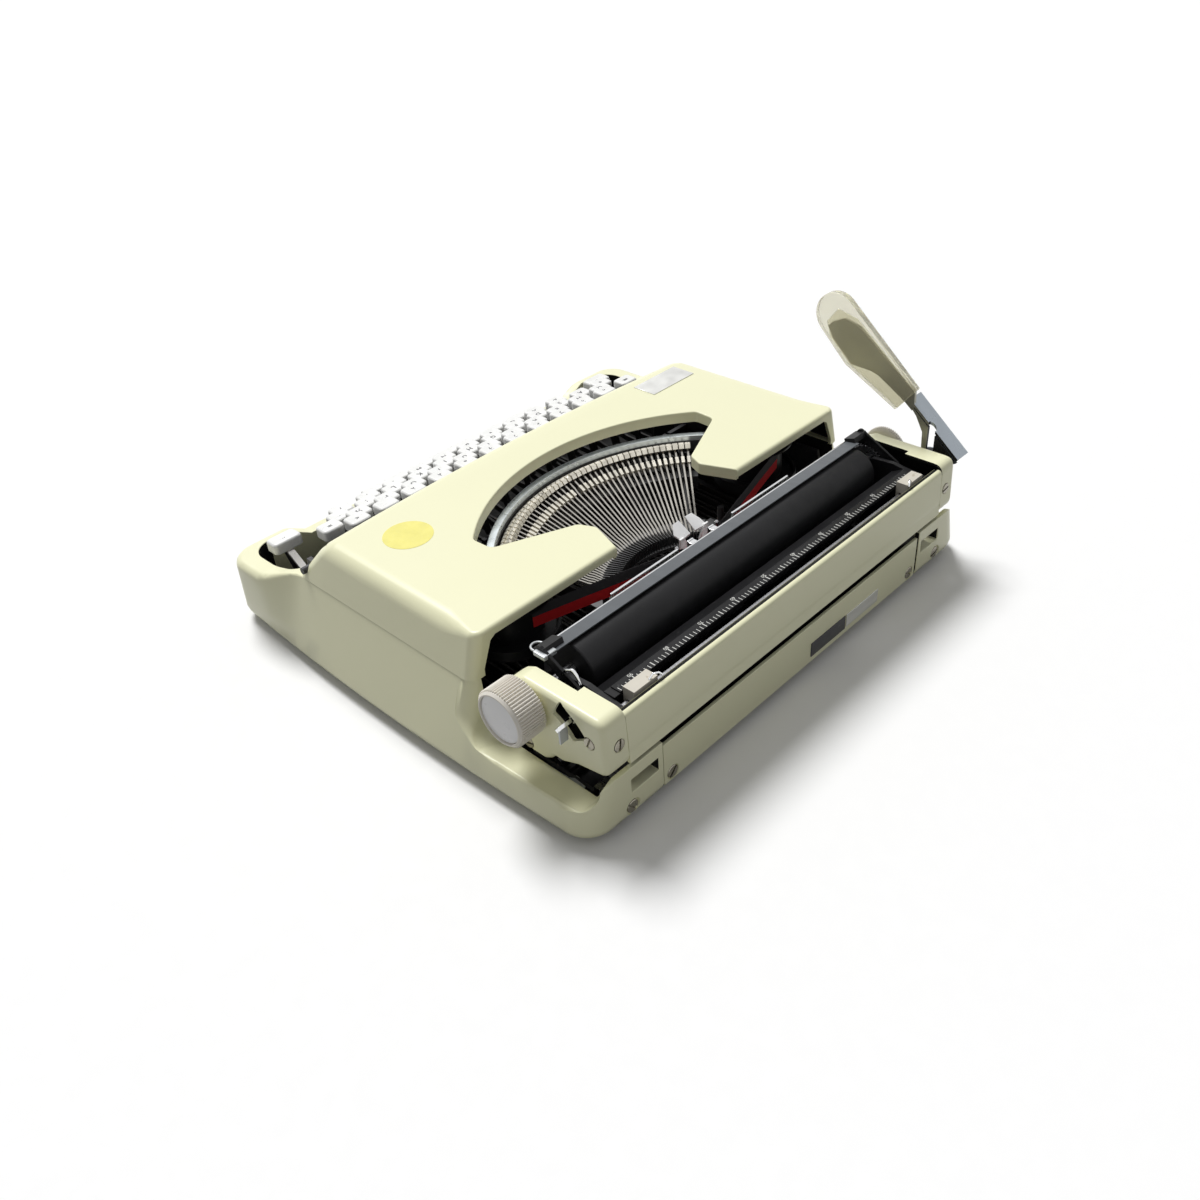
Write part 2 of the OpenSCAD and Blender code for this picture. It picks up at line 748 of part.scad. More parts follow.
module right_end_cap() {
    color(cream) place() difference() {
        end_cap();
        yz_plate(cap_out - 5, 8) translate([release_y, release_z])
            polygon([for (s = [-1, 1]) for (k = [0 : 6])
                let (a = release_a + s * (18 - 6 * k), r = release_r + s * 4.6) [r * cos(a), r * sin(a)]]);
    }
}

module left_end_cap() {
    color(cream) place() mirror([1, 0, 0]) end_cap();
}

module paper_table() {
    color(black) place() union() {
        yz_plate(-plate_in, 2 * plate_in)
            polygon([[py + 17, 44], [py + 18.5, 44], [py + 22, 55], [-21, 59], [-15.3, 59], [-15.3, 60.2], [-22, 60.2],
                [py + 20.8, 56]]);
        both_sides() block(plate_in - 3, plate_in, -22, -15.3, 54, 59.5);
    }
}

module scale_strip() {
    color(dark) place() block(-plate_in + 4, plate_in - 4, -21.5, -15.5, 60.2, 60.9);
}

module margin_rail() {
    color(chrome) place() block(-plate_in, plate_in, -12.5, -10, 50, 57);
}

module screw_x(y, z) {
    difference() {
        union() {
            x_rod(cap_out - 0.9, cap_out + 0.5, y, z, 3.2, 32);
            x_rod(cap_out - 3.5, cap_out - 0.5, y, z, 1.5, 32);
        }
        block(cap_out, cap_out + 2, y - 5, y + 5, z - 0.45, z + 0.45);
    }
}

module cap_screws() {
    color(chrome) place() both_sides() union() {
        screw_x(-53.7, 25.5);
        screw_x(-11, 50.4);
        translate([cap_out - 9.2, -0.7, 48.6]) rotate([90, 0, 0]) difference() {
            union() {
                cylinder(h = 1.3, r = 3.2, $fn = 32);
                translate([0, 0, 1]) cylinder(h = 3, r = 1.5, $fn = 32);
            }
            translate([-5, -0.45, -1]) cube([10, 0.9, 1.6]);
        }
    }
}

// Steel bracket and upright pin outside the left end cap that carry the return lever
module lever_bracket() {
    color(dark) place() union() {
        block(lever_x - 5, -cap_out, lever_y - 5, lever_y + 4.5, 42, 46);
        translate([lever_x, lever_y, 44]) cylinder(h = 17, r = 2.5, $fn = 48);
    }
}

// Platen with shaft, ratchet wheel and ribbed knobs
module platen() {
    color(black) place() difference() {
        x_rod(-platen_len / 2, platen_len / 2, py, pz, platen_r, 128);
        x_rod(-200, 200, py, pz, axle_r);
    }
}

module platen_shaft() {
    color(chrome) place() union() {
        x_rod(-cap_out - wheel_deep, cap_out + knob_deep, py, pz, axle_r);
        translate([-plate_in - plate_t - 1.7, py, pz]) rotate([0, 90, 0]) linear_extrude(1.5) union() {
            circle(10.5, $fn = 96);
            for (i = [0 : 29])
                rotate(i * 12) polygon([[10, -0.9], [12, -0.9], [10, 1.1]]);
        }
    }
}

module knob(r, len, deep) {
    difference() {
        translate([cap_out + 1.5, py, pz]) rotate([0, 90, 0]) union() {
            cylinder(h = len, r = r - 0.6, $fn = 120);
            for (i = [0 : knob_ribs - 1])
                rotate([0, 0, i * 360 / knob_ribs]) translate([r - 1.2, -0.4, 0.8])
                    cube([1.2, 0.8, len - 1.6]);
        }
        x_rod(cap_out, cap_out + deep + 0.2, py, pz, axle_r);
        x_rod(cap_out + len - 0.7, cap_out + 40, py, pz, r - 2.4, 120);
    }
}

module platen_knobs() {
    color(ivory) place() union() {
        knob(knob_r, knob_len, knob_deep);
        mirror([1, 0, 0]) knob(wheel_r, wheel_len, wheel_deep);
    }
}

module knob_discs() {
    color(chrome) place() union() {
        x_rod(cap_out + knob_len - 0.7, cap_out + knob_len + 0.3, py, pz, knob_r - 2.4, 120);
        x_rod(-cap_out - wheel_len - 0.3, -cap_out - wheel_len + 0.7, py, pz, wheel_r - 2.4, 120);
    }
}

module feed_roller(s) {
    place() union() {
        x_rod(-plate_in - plate_t, plate_in + plate_t, py + s * feed_dx, pz - feed_dz, 2);
        for (x = [-84, -28, 28, 84])
            x_rod(x - 20, x + 20, py + s * feed_dx, pz - feed_dz, feed_r, 64);
    }
}

module front_feed_roller() {
    color(black) feed_roller(-1);
}

module rear_feed_roller() {
    color(black) feed_roller(1);
}

// Paper bail: flat bar across the platen on two swinging arms
module bail_bar() {
    color(steel) place() yz_plate(-bail_len / 2, bail_len) translate([py, pz]) rotate(109)
        translate([bail_r - 1, -3.2]) square([1.2, 6.4]);
}

module bail_arms() {
    y_bar = py + bail_r * cos(109);
    z_bar = pz + bail_r * sin(109);
    color(steel) place() both_sides() union() {
        yz_plate(cap_in - 2.4, 1.5) hull() {
            translate([bail_pivot_y, bail_pivot_z]) circle(3.6, $fn = 32);
            translate([y_bar, z_bar + 1.4]) circle(2.6, $fn = 32);
        }
        x_rod(plate_in, cap_in - 1.4, bail_pivot_y, bail_pivot_z, 1.5, 32);
        yz_plate(bail_len / 2, cap_in - 0.9 - bail_len / 2) translate([py, pz]) rotate(109)
            translate([bail_r - 1, -3.6]) square([3.4, 7.2]);
    }
}

module paper_release_lever() {
    color(chrome) place() union() {
        x_rod(plate_in + 0.2, cap_out - 3, release_y, release_z, 2);
        yz_plate(cap_out - 5.5, 2) translate([release_y, release_z]) union() {
            circle(4.5, $fn = 48);
            rotate(release_a) translate([0, -2]) square([release_r + 2, 4]);
        }
        translate([0, release_y, release_z]) rotate([release_a, 0, 0])
            block(cap_out - 5.5, cap_out + 7, release_r - 2, release_r + 2, -1, 1);
    }
}

// Sliding margin stops on the margin rail
module margin_stop() {
    difference() {
        block(-8, 8, -14.8, -7.6, 57, 64);
        block(-20, 20, -12.5 - slide_gap, -10 + slide_gap, 40, 57 + slide_gap);
    }
    block(-8, 8, -14.8, -12.5 - slide_gap, 53, 58);
}

module right_margin_stop() {
    color(ivory) place() translate([plate_in - 13, 0, 0]) margin_stop();
}

module left_margin_stop() {
    color(ivory) place() translate([-plate_in + 13, 0, 0]) margin_stop();
}

// Carriage return lever: bent steel arm with a hub, and a hollow plastic paddle
module lever_along() {
    translate([-40.75, 88.2]) rotate(141.4) children();
}

module return_lever_arm() {
    color(steel) place() difference() {
        union() {
            translate([lever_x, lever_y, 46]) cylinder(h = 14, r = 5, $fn = 64);
            yz_plate(lever_x - 1, 2) union() {
                polygon([[lever_y - 5, 50], [lever_y + 5, 50], [-4, 57.5], [-42, 90.6], [-33, 80], [-28, 71],
                    [lever_y - 5.4, 60]]);
                lever_along() polygon([[-7, -0.5], [0, -8.5], [51, -7.5], [61, -3], [65, 5], [65, 9.5], [58, 12.5],
                    [38.6, 14.2], [27.5, 6.3], [21.8, 3.9], [3, 1.5], [-7, 1.5]]);
            }
            yz_plate(lever_x - 11, 12) polygon([[-3.9, 59], [-39, 88.6], [-38, 89.8], [-2.9, 60.2]]);
        }
        translate([lever_x, lever_y, 40]) cylinder(h = 40, r = 2.5 + run_gap, $fn = 48);
    }
}

module return_lever_paddle() {
    color(ivory) place() difference() {
        yz_plate(lever_x - 2.6, 5.2) lever_along() hull() {
            translate([0, -10.5]) square([4, 20.1]);
            translate([41.2, 12.06]) circle(5, $fn = 48);
            translate([paddle_len - paddle_w / 2, 0]) circle(paddle_w / 2, $fn = 64);
        }
        yz_plate(lever_x - 1.02, 2.04) lever_along() polygon([[-1, -9.1], [55, -10], [68, -4], [68, 8],
            [60, 13.6], [40, 15.3], [-1, 8.2]]);
    }
}

// Small lever beside the carriage that locks it for carrying
module carriage_lock_lever() {
    color(steel) place() union() {
        x_rod(frame_x - 2, frame_x + 4.4, -30, 10, 2);
        yz_plate(frame_x + 2.4, 2) polygon([[-44, 9], [-27, 5], [-22, 8], [-20, 15], [-27, 16], [-31, 14], [-44, 13]]);
        x_rod(frame_x + 2.4, frame_x + 8.4, -42, 11, 1.6, 32);
    }
}

// Mainspring drum and escapement wheel under the carriage
module mainspring_drum() {
    color(dark) place() translate([-95, -24, skin]) difference() {
        union() {
            cylinder(h = 8.5, r = 12, $fn = 96);
            translate([0, 0, 0.5]) cylinder(h = 1.5, r = 13.5, $fn = 96);
            translate([0, 0, 7]) cylinder(h = 1.5, r = 13.5, $fn = 96);
        }
        translate([0, 0, 6]) cylinder(h = 4, r = 3, $fn = 48);
    }
}

module escapement_wheel() {
    r = pinion_r;
    color(chrome) place() translate([0, rack_front - r - 0.25, skin]) union() {
        linear_extrude(2) union() {
            circle(8, $fn = 64);
            for (i = [0 : 11])
                rotate(i * 30) polygon([[7.5, -1.4], [10, -0.5], [10, 0.5], [7.5, 1.4]]);
        }
        cylinder(h = rail_top - skin + 3.5, r = 2, $fn = 48);
        translate([0, 0, rail_top - skin]) linear_extrude(3.5) union() {
            circle(r - 1.1, $fn = 64);
            for (i = [0 : 11])
                rotate(i * 30) polygon([[r - 1.3, -0.75], [r + 0.75, -0.3], [r + 0.75, 0.3], [r - 1.3, 0.75]]);
        }
    }
}

base_shell();
rear_panel();
rubber_feet();
chassis();
carriage_rails();
fulcrum_shaft();
cover_hinge_pins();
spool_cups();
ribbon();
card_holder();
body_screws();
label_plates();
top_cover();
cover_badge();
number_row_caps();
number_row_levers();
upper_row_caps();
upper_row_levers();
home_row_caps();
home_row_levers();
lower_row_caps();
lower_row_levers();
sample_key();
space_bar();
shift_keys();
shift_lock_key();
margin_release_key();
backspace_key();
segment();
type_rest();
typebars();
sample_typebar();
ribbon_vibrator();
left_spool();
right_spool();
carriage_frame();
carriage_rear_panel();
right_end_cap();
left_end_cap();
paper_table();
scale_strip();
margin_rail();
cap_screws();
lever_bracket();
platen();
platen_shaft();
platen_knobs();
knob_discs();
front_feed_roller();
rear_feed_roller();
bail_bar();
bail_arms();
paper_release_lever();
left_margin_stop();
right_margin_stop();
return_lever_arm();
return_lever_paddle();
carriage_lock_lever();
mainspring_drum();
escapement_wheel();
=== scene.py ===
import math
import bmesh
import bpy
from mathutils import Matrix, Vector


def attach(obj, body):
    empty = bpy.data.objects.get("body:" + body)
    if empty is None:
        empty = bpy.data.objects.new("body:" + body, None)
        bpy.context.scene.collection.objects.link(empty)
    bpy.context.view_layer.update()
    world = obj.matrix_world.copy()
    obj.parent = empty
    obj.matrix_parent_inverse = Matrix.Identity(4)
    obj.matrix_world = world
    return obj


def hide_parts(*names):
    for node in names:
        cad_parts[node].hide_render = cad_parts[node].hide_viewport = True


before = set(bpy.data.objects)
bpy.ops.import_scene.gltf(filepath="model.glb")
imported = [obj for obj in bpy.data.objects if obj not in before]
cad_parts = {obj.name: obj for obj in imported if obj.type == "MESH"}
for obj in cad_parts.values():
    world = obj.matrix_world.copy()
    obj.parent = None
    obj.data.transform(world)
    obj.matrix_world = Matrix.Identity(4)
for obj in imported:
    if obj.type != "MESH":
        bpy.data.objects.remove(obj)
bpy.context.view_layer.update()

# Base tray: one deep pressing of sheet steel with bowed sides and a raised nose round the keys.
# Low ledges leave room for the carriage at the rear, and a slot in each rear corner takes the lid.
# It is sprayed inside and out with pale cream-yellow enamel and baked.
MM = 0.001
REAR_WALL = 0.151
BASE_FLOOR = 0.004


def spot(x, y, z):
    """A point given in millimetres from the middle of the rear wall at the base floor."""
    return Vector((x * MM, y * MM + REAR_WALL, z * MM + BASE_FLOOR))


def tint(colour, amount):
    return tuple(max(0.0, min(1.0, c * amount)) for c in colour[:3]) + (1.0,)


def surface(name, colour, rough, metal=0.0, mottle=0.08, blotch=22.0, grain=900.0, relief=0.04,
            worn=None, stretch=(1, 1, 1), uneven=0.2, **sockets):
    """A finish with blotchy colour, uneven gloss, fine relief and, if worn is set, rubbed flecks."""
    mat = bpy.data.materials.new(name)
    mat.use_nodes = True
    tree = mat.node_tree
    shader = tree.nodes["Principled BSDF"]
    place = tree.nodes.new("ShaderNodeTexCoord")
    turn = tree.nodes.new("ShaderNodeMapping")
    turn.inputs["Scale"].default_value = stretch
    tree.links.new(place.outputs["Object"], turn.inputs["Vector"])

    def noise(scale, detail):
        node = tree.nodes.new("ShaderNodeTexNoise")
        node.inputs["Scale"].default_value = scale
        node.inputs["Detail"].default_value = detail
        tree.links.new(turn.outputs["Vector"], node.inputs["Vector"])
        return node.outputs["Fac"]

    def ramp(source, low, high, first, last):
        node = tree.nodes.new("ShaderNodeValToRGB")
        node.color_ramp.elements[0].position, node.color_ramp.elements[1].position = low, high
        node.color_ramp.elements[0].color, node.color_ramp.elements[1].color = first, last
        tree.links.new(source, node.inputs["Fac"])
        return node.outputs["Color"]

    body = ramp(noise(blotch, 4), 0.3, 0.7, tint(colour, 1 - mottle), tint(colour, 1 + mottle * 0.6))
    if worn:
        mask = ramp(noise(260, 6), 0.66, 0.74, (0, 0, 0, 1), (1, 1, 1, 1))
        mix = tree.nodes.new("ShaderNodeMix")
        mix.data_type = "RGBA"
        tree.links.new(mask, mix.inputs["Factor"])
        tree.links.new(body, mix.inputs["A"])
        mix.inputs["B"].default_value = tuple(worn) + (1.0,)
        body = mix.outputs["Result"]
    tree.links.new(body, shader.inputs["Base Color"])
    dull, bright = min(1.0, rough * (1 + uneven)), rough * (1 - uneven)
    gloss = ramp(noise(blotch * 5, 5), 0.25, 0.75, (bright,) * 3 + (1,), (dull,) * 3 + (1,))
    tree.links.new(gloss, shader.inputs["Roughness"])
    bump = tree.nodes.new("ShaderNodeBump")
    bump.inputs["Strength"].default_value = relief
    bump.inputs["Distance"].default_value = 0.0004
    tree.links.new(noise(grain, 3), bump.inputs["Height"])
    tree.links.new(bump.outputs["Normal"], shader.inputs["Normal"])
    shader.inputs["Metallic"].default_value = metal
    for socket, value in sockets.items():
        shader.inputs[socket.replace("_", " ")].default_value = value
    return mat


def new_object(name, bm):
    mesh = bpy.data.meshes.new(name)
    bm.to_mesh(mesh)
    bm.free()
    obj = bpy.data.objects.new(name, mesh)
    bpy.context.scene.collection.objects.link(obj)
    return obj


def plain_mesh(obj):
    """The mesh of an object as its live modifiers or curve settings show it."""
    bpy.context.view_layer.update()
    graph = bpy.context.evaluated_depsgraph_get()
    return bpy.data.meshes.new_from_object(obj.evaluated_get(graph))


def settle(obj):
    """Turns the live modifiers of a piece into its plain mesh."""
    mesh = plain_mesh(obj)
    obj.modifiers.clear()
    obj.data = mesh
    return obj


def prism(name, outline, axis, low, high):
    """A straight solid from an outline in the plane across the axis, in millimetres."""
    bm = bmesh.new()
    rings = []
    for level in (low, high):
        ring = []
        for a, b in outline:
            point = {"x": (level, a, b), "y": (a, level, b), "z": (a, b, level)}[axis]
            ring.append(bm.verts.new(spot(*point)))
        rings.append(ring)
    bm.faces.new(rings[0])
    bm.faces.new(rings[1])
    n = len(outline)
    for i in range(n):
        bm.faces.new((rings[0][i], rings[0][(i + 1) % n], rings[1][(i + 1) % n], rings[1][i]))
    bmesh.ops.recalc_face_normals(bm, faces=bm.faces)
    return new_object(name, bm)


def combine(obj, how, *tools):
    for tool in tools:
        change = obj.modifiers.new("join", "BOOLEAN")
        change.operation = how
        change.solver = "EXACT"
        change.object = tool
        settle(obj)
        bpy.data.objects.remove(tool)
    return obj


def soften(obj, width, steps, share=None, least=25.0):
    """Rounds the edges of a piece; share gives the part of the width that an edge gets, by its middle."""
    bm = bmesh.new()
    bm.from_mesh(obj.data)
    bmesh.ops.remove_doubles(bm, verts=bm.verts, dist=2e-6)
    bmesh.ops.dissolve_limit(bm, angle_limit=math.radians(0.6), verts=bm.verts, edges=bm.edges)
    layer = bm.edges.layers.float.get("bevel_weight_edge") or bm.edges.layers.float.new("bevel_weight_edge")
    for edge in bm.edges:
        edge[layer] = 0.0
        if len(edge.link_faces) == 2 and math.degrees(edge.calc_face_angle(0)) > least:
            mid = (edge.verts[0].co + edge.verts[1].co) / 2
            x, y, z = mid.x / MM, (mid.y - REAR_WALL) / MM, (mid.z - BASE_FLOOR) / MM
            edge[layer] = share(x, y, z) if share else 1.0
    bm.to_mesh(obj.data)
    bm.free()
    change = obj.modifiers.new("soft edge", "BEVEL")
    change.width = width * MM
    change.segments = steps
    change.limit_method = "WEIGHT"
    change.use_clamp_overlap = share is None
    return settle(obj)


def finish_piece(obj, body, finish, slot, *nodes, crease=38.0):
    """Smooth shading and the finish of a piece; it is hung on its body's empty and the CAD nodes it stands
    for are hidden.
    """
    mesh = obj.data
    mesh.materials.clear()
    mesh.materials.append(finish)
    mesh.polygons.foreach_set("use_smooth", [True] * len(mesh.polygons))
    mesh.set_sharp_from_angle(angle=math.radians(crease))
    change = obj.modifiers.new("even shading", "WEIGHTED_NORMAL")
    change.keep_sharp = True
    settle(obj)
    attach(obj, body)
    if nodes:
        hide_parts(*nodes)
    return obj


def arc(cx, cy, radius, first, last, steps=8):
    """Points along a round stretch of an outline, between two angles in degrees."""
    turns = [math.radians(first + (last - first) * i / steps) for i in range(steps + 1)]
    return [(cx + radius * math.cos(a), cy + radius * math.sin(a)) for a in turns]


enamel = surface("cream enamel", (0.90, 0.89, 0.61), 0.34, mottle=0.012, blotch=9, grain=1400, relief=0.03,
                 uneven=0.05, Specular_IOR_Level=0.35, Coat_Weight=0.1, Coat_Roughness=0.15)
# This near-black inner material is painted shade for the insides that the light does not reach.
painted_shade_black = surface("painted inner shade", (0.010, 0.010, 0.010), 0.6, mottle=0.3, worn=(0.03, 0.03, 0.03),
                      Specular_IOR_Level=0.1)


def smooth_step(value, start, end):
    """0 before the start, 1 after the end and an even S between them."""
    t = max(0.0, min(1.0, (value - start) / (end - start)))
    return t * t * (3 - 2 * t)


def paint_inner_shade(obj, inside):
    """Paints the hidden inner faces of a painted piece near-black as painted shade, with a second material.
    """
    mesh = obj.data
    mesh.materials.append(painted_shade_black)
    for face in mesh.polygons:
        c = face.center
        if inside(c.x / MM, (c.y - REAR_WALL) / MM, (c.z - BASE_FLOOR) / MM, face.normal):
            face.material_index = 1


CASE_DEPTH, CORNER = 302, 16
FOOT_HALF, FOOT_BOW, FOOT_BEND = 166, 4, 5.5
BRIM_HALF, BRIM_TOP = 155.5, 48
NOSE_SPREAD, NOSE_DROP, NOSE_FRONT = 11.1, 8, -298.1
FLARE_START, FLARE_END = -230, -268
stations = [-CORNER - 12 * k for k in range(1, 18)] + [-226, -231, -235, -238]
stations += [-240 - 2 * k for k in range(11)] + [-265, -273]
foot_half_ways = [((y + CASE_DEPTH / 2) / (CASE_DEPTH / 2 - CORNER)) ** 2 for y in stations]
foot_line = (arc(FOOT_HALF - CORNER, -CORNER, CORNER, 90, 0, 9)
             + [(FOOT_HALF + FOOT_BOW * (1 - way), y) for way, y in zip(foot_half_ways, stations)]
             + arc(FOOT_HALF - CORNER, CORNER - CASE_DEPTH, CORNER, 0, -90, 9))
brim_line = (arc(BRIM_HALF - CORNER, -CORNER, CORNER, 90, 0, 9)
             + [(BRIM_HALF + NOSE_SPREAD * smooth_step(y, FLARE_START, FLARE_END), y) for y in stations]
             + arc(BRIM_HALF + NOSE_SPREAD - CORNER, NOSE_FRONT + CORNER, CORNER, 0, -90, 9))


def inset_line(line, amounts):
    """The right half of an outline, from the rear to the front, moved inwards by an amount at each point."""
    moved = []
    for i, (x, y) in enumerate(line):
        before = line[i - 1] if i else (-x, y)
        after = line[i + 1] if i + 1 < len(line) else (-x, y)
        along = (Vector(after) - Vector(before)).normalized()
        moved.append((x + along.y * amounts[i], y - along.x * amounts[i]))
    return moved


def loft(name, rings):
    """A closed solid with equal sides, from the right halves of its level outlines."""
    form = bmesh.new()
    halves = []
    for ring in rings:
        right = [form.verts.new(spot(x, y, z)) for x, y, z in ring]
        left = [form.verts.new(spot(-x, y, z)) for x, y, z in ring]
        halves.append((right, left))
    for (low_r, low_l), (high_r, high_l) in zip(halves, halves[1:]):
        low, high = low_r + low_l[::-1], high_r + high_l[::-1]
        for i in range(len(low)):
            j = (i + 1) % len(low)
            form.faces.new((low[i], low[j], high[j], high[i]))
    for right, left in (halves[0], halves[-1]):
        for i in range(len(right) - 1):
            form.faces.new((right[i], right[i + 1], left[i + 1], left[i]))
    bmesh.ops.recalc_face_normals(form, faces=form.faces)
    bmesh.ops.triangulate(form, faces=form.faces)
    return new_object(name, form)


flare = [smooth_step(y, FLARE_START, FLARE_END) for x, y in brim_line]
brim_round = [1.0 + 3.4 * f for f in flare]
brim_height = [BRIM_TOP - NOSE_DROP * f for f in flare]
tray_rings = []
for level, inset in ((0, 5), (0.7, 2.6), (2.4, 0.8), (FOOT_BEND, 0)):
    tray_rings.append([(x, y, level) for x, y in inset_line(foot_line, [inset] * len(foot_line))])
for share in (0.3, 0.6, 0.85):
    ring = []
    for foot, brim, height, bend in zip(foot_line, brim_line, brim_height, brim_round):
        x, y = (f + (b - f) * share for f, b in zip(foot, brim))
        ring.append((x, y, FOOT_BEND + (height - bend - FOOT_BEND) * share))
    tray_rings.append(ring)
for angle in (0, 30, 60, 90):
    in_by, down_by = 1 - math.cos(math.radians(angle)), 1 - math.sin(math.radians(angle))
    ring = inset_line(brim_line, [r * in_by for r in brim_round])
    tray_rings.append([(x, y, h - r * down_by) for (x, y), h, r in zip(ring, brim_height, brim_round)])
tray = loft("base_tray", tray_rings)
BAY_FRONT, BAY_FLOOR, BAY_BEND = -85, 17, 12
REAR_BEND, REAR_TOP = 8, 31.6
bay = [(BAY_FRONT, 120)] + arc(BAY_FRONT + BAY_BEND, BAY_FLOOR + BAY_BEND, BAY_BEND, 180, 270)
bay += arc(-11, BAY_FLOOR + REAR_BEND, REAR_BEND, 270, 355) + [(-3, REAR_TOP), (4, REAR_TOP), (4, 120)]
dip = [(-128, 70), (-128, 40), (-112, 31), (112, 31), (128, 40), (128, 70)]
combine(tray, "DIFFERENCE", prism("bay", bay, "x", -180, 180), prism("dip", dip, "y", -310, -280),
        prism("shoulder_r", [(146, REAR_TOP), (172, 18), (172, 50), (146, 50)], "y", -30, 4),
        prism("shoulder_l", [(-146, REAR_TOP), (-146, 50), (-172, 50), (-172, 18)], "y", -30, 4))


def stack(name, rings):
    """A closed solid through closed rings of the same number of points, in millimetres."""
    form = bmesh.new()
    rows = [[form.verts.new(spot(*point)) for point in ring] for ring in rings]
    for low, high in zip(rows, rows[1:]):
        for i in range(len(low)):
            j = (i + 1) % len(low)
            form.faces.new((low[i], low[j], high[j], high[i]))
    form.faces.new(rows[0])
    form.faces.new(rows[-1])
    bmesh.ops.recalc_face_normals(form, faces=form.faces)
    bmesh.ops.triangulate(form, faces=form.faces)
    return new_object(name, form)


BAY_FOOT_HALF, BAY_WALL_RISE = 169.04, 41.5
for side in (-1, 1):
    edge_rings = []
    for z in (17.4, 18.5, 20, 22, 24, 26, 28, 31, 40, 50):
        wall = BAY_FOOT_HALF - (BAY_FOOT_HALF - BRIM_HALF) * (z - FOOT_BEND) / BAY_WALL_RISE
        over_bend = max(0, BAY_FLOOR + BAY_BEND - z)
        front = BAY_FRONT + BAY_BEND - math.sqrt(BAY_BEND ** 2 - over_bend ** 2)
        turned = 1.5 + 8 * smooth_step(z, BAY_FLOOR, BAY_FLOOR + 14)
        ring = arc(wall - turned, front - turned, turned, 90, 0, 8)
        ring += [(wall + 8, front - turned), (wall + 8, front + 4), (wall - turned, front + 4)]
        edge_rings.append([(side * x, y, z) for x, y in ring])
    combine(tray, "DIFFERENCE", stack("turned_edge", edge_rings))
SHEET_FLOOR, ABOVE_TRAY = 2, 70
WELL_HALF, WELL_FRONT, WELL_BACK, WELL_CORNER = 153.5, -290.9, -236, 13
CORNER_SCREW_X, CORNER_SCREW_Z = 135.7, 6.5
well = (arc(WELL_HALF - WELL_CORNER, WELL_BACK - WELL_CORNER, WELL_CORNER, 0, 90, 10)
        + arc(WELL_CORNER - WELL_HALF, WELL_BACK - WELL_CORNER, WELL_CORNER, 90, 180, 10)
        + arc(WELL_CORNER - WELL_HALF, WELL_FRONT + WELL_CORNER, WELL_CORNER, 180, 270, 10)
        + arc(WELL_HALF - WELL_CORNER, WELL_FRONT + WELL_CORNER, WELL_CORNER, 270, 360, 10))
pockets = [prism("key_well", well, "z", SHEET_FLOOR, ABOVE_TRAY)]
for name, half, front, back in (("works", 149, -250, -80), ("carriage_bay", 149, -88, -10),
                                ("rear_gap", 113.9, -12, 4)):
    plan = [(-half, front), (half, front), (half, back), (-half, back)]
    pockets.append(prism(name, plan, "z", SHEET_FLOOR, ABOVE_TRAY))
for side in (-1, 1):
    low, high = sorted((side * 117, side * 136))
    pockets.append(prism("lid_slot", [(low, 16), (high, 16), (high, 24), (low, 24)], "y", -8, 4))
    screw_ring = arc(side * CORNER_SCREW_X, CORNER_SCREW_Z, 4.6, 0, 345, 23)
    pockets.append(prism("screw_seat", screw_ring, "y", -1.3, 4))
combine(tray, "DIFFERENCE", *pockets)


def tray_rounding(x, y, z):
    """Wider along the outer edges of the ledges than on the thin walls."""
    if abs(x) > 150 and 16.5 < z < 40 and -70 < y < -12:
        return 1.0
    return 0.3 if z > 1 and not (abs(x) > 143 and -102 < y < -70) else 0.0


soften(tray, 1.5, 3, tray_rounding, least=35)
finish_piece(tray, "case", enamel, "cream_paint", "base_shell")


def tray_shade_faces(x, y, z, normal):
    """True on the inner walls and floors that no light reaches, which are painted near-black as shade."""
    if normal.z > 0.4 and z > 3:
        return False
    under_cover = abs(x) < 149.3 and -238 < y < -9.6 and 1.5 < z < 47.2
    rear_way = abs(x) < 114.2 and -12.3 < y < -0.8 and 1.5 < z < 31
    slot = 116.8 < abs(x) < 136.2 and -8.2 < y < -0.6 and 15.8 < z < 24.2
    well_floor = abs(x) < 153.6 and -291 < y < -230 and 1.5 < z < (34 if abs(x) > 128 else 12)
    return under_cover or rear_way or slot or well_floor


# The inner walls and floors of the tray get painted shade.
paint_inner_shade(tray, tray_shade_faces)

# Rear panel: a flat painted sheet between the rear corners of the base, held by two screws.
# Two thin plates, one dark and one of bare aluminium, are riveted flat to it.
def slab(name, low, high, soft=0.0, steps=2):
    """A straight block between two corners in millimetres, with softened edges."""
    block = prism(name, [(low[0], low[1]), (high[0], low[1]), (high[0], high[1]), (low[0], high[1])],
                  "z", low[2], high[2])
    return soften(block, soft, steps) if soft else block


PANEL_SCREW_X, PANEL_SCREW_Z = 106.8, 6.9
panel = slab("rear_panel", (-113.1, -2.6, 2), (113.1, -0.6, 28.2), 0.5)
for side in (-1, 1):
    screw_ring = arc(side * PANEL_SCREW_X, PANEL_SCREW_Z, 4.2, 0, 345, 23)
    combine(panel, "DIFFERENCE", prism("seat", screw_ring, "y", -1.6, 4))
finish_piece(panel, "case", enamel, "cream_paint", "rear_panel")

dark_plate_paint = surface("dark plate", (0.035, 0.036, 0.04), 0.35, mottle=0.2, worn=(0.16, 0.16, 0.16))
bare_aluminium = surface("bare aluminium", (0.62, 0.62, 0.60), 0.35, metal=1.0, mottle=0.12,
                         stretch=(1, 1, 8))
finish_piece(slab("dark_rear_plate", (-39.5, -0.6, 6), (-7, -0.1, 15), 0.15), "case", dark_plate_paint,
             "dark_steel", "label_plates")
finish_piece(slab("bare_rear_plate", (-72, -0.6, 6.5), (-40.5, -0.1, 15), 0.15), "case", bare_aluminium,
             "dark_steel", "label_plates")

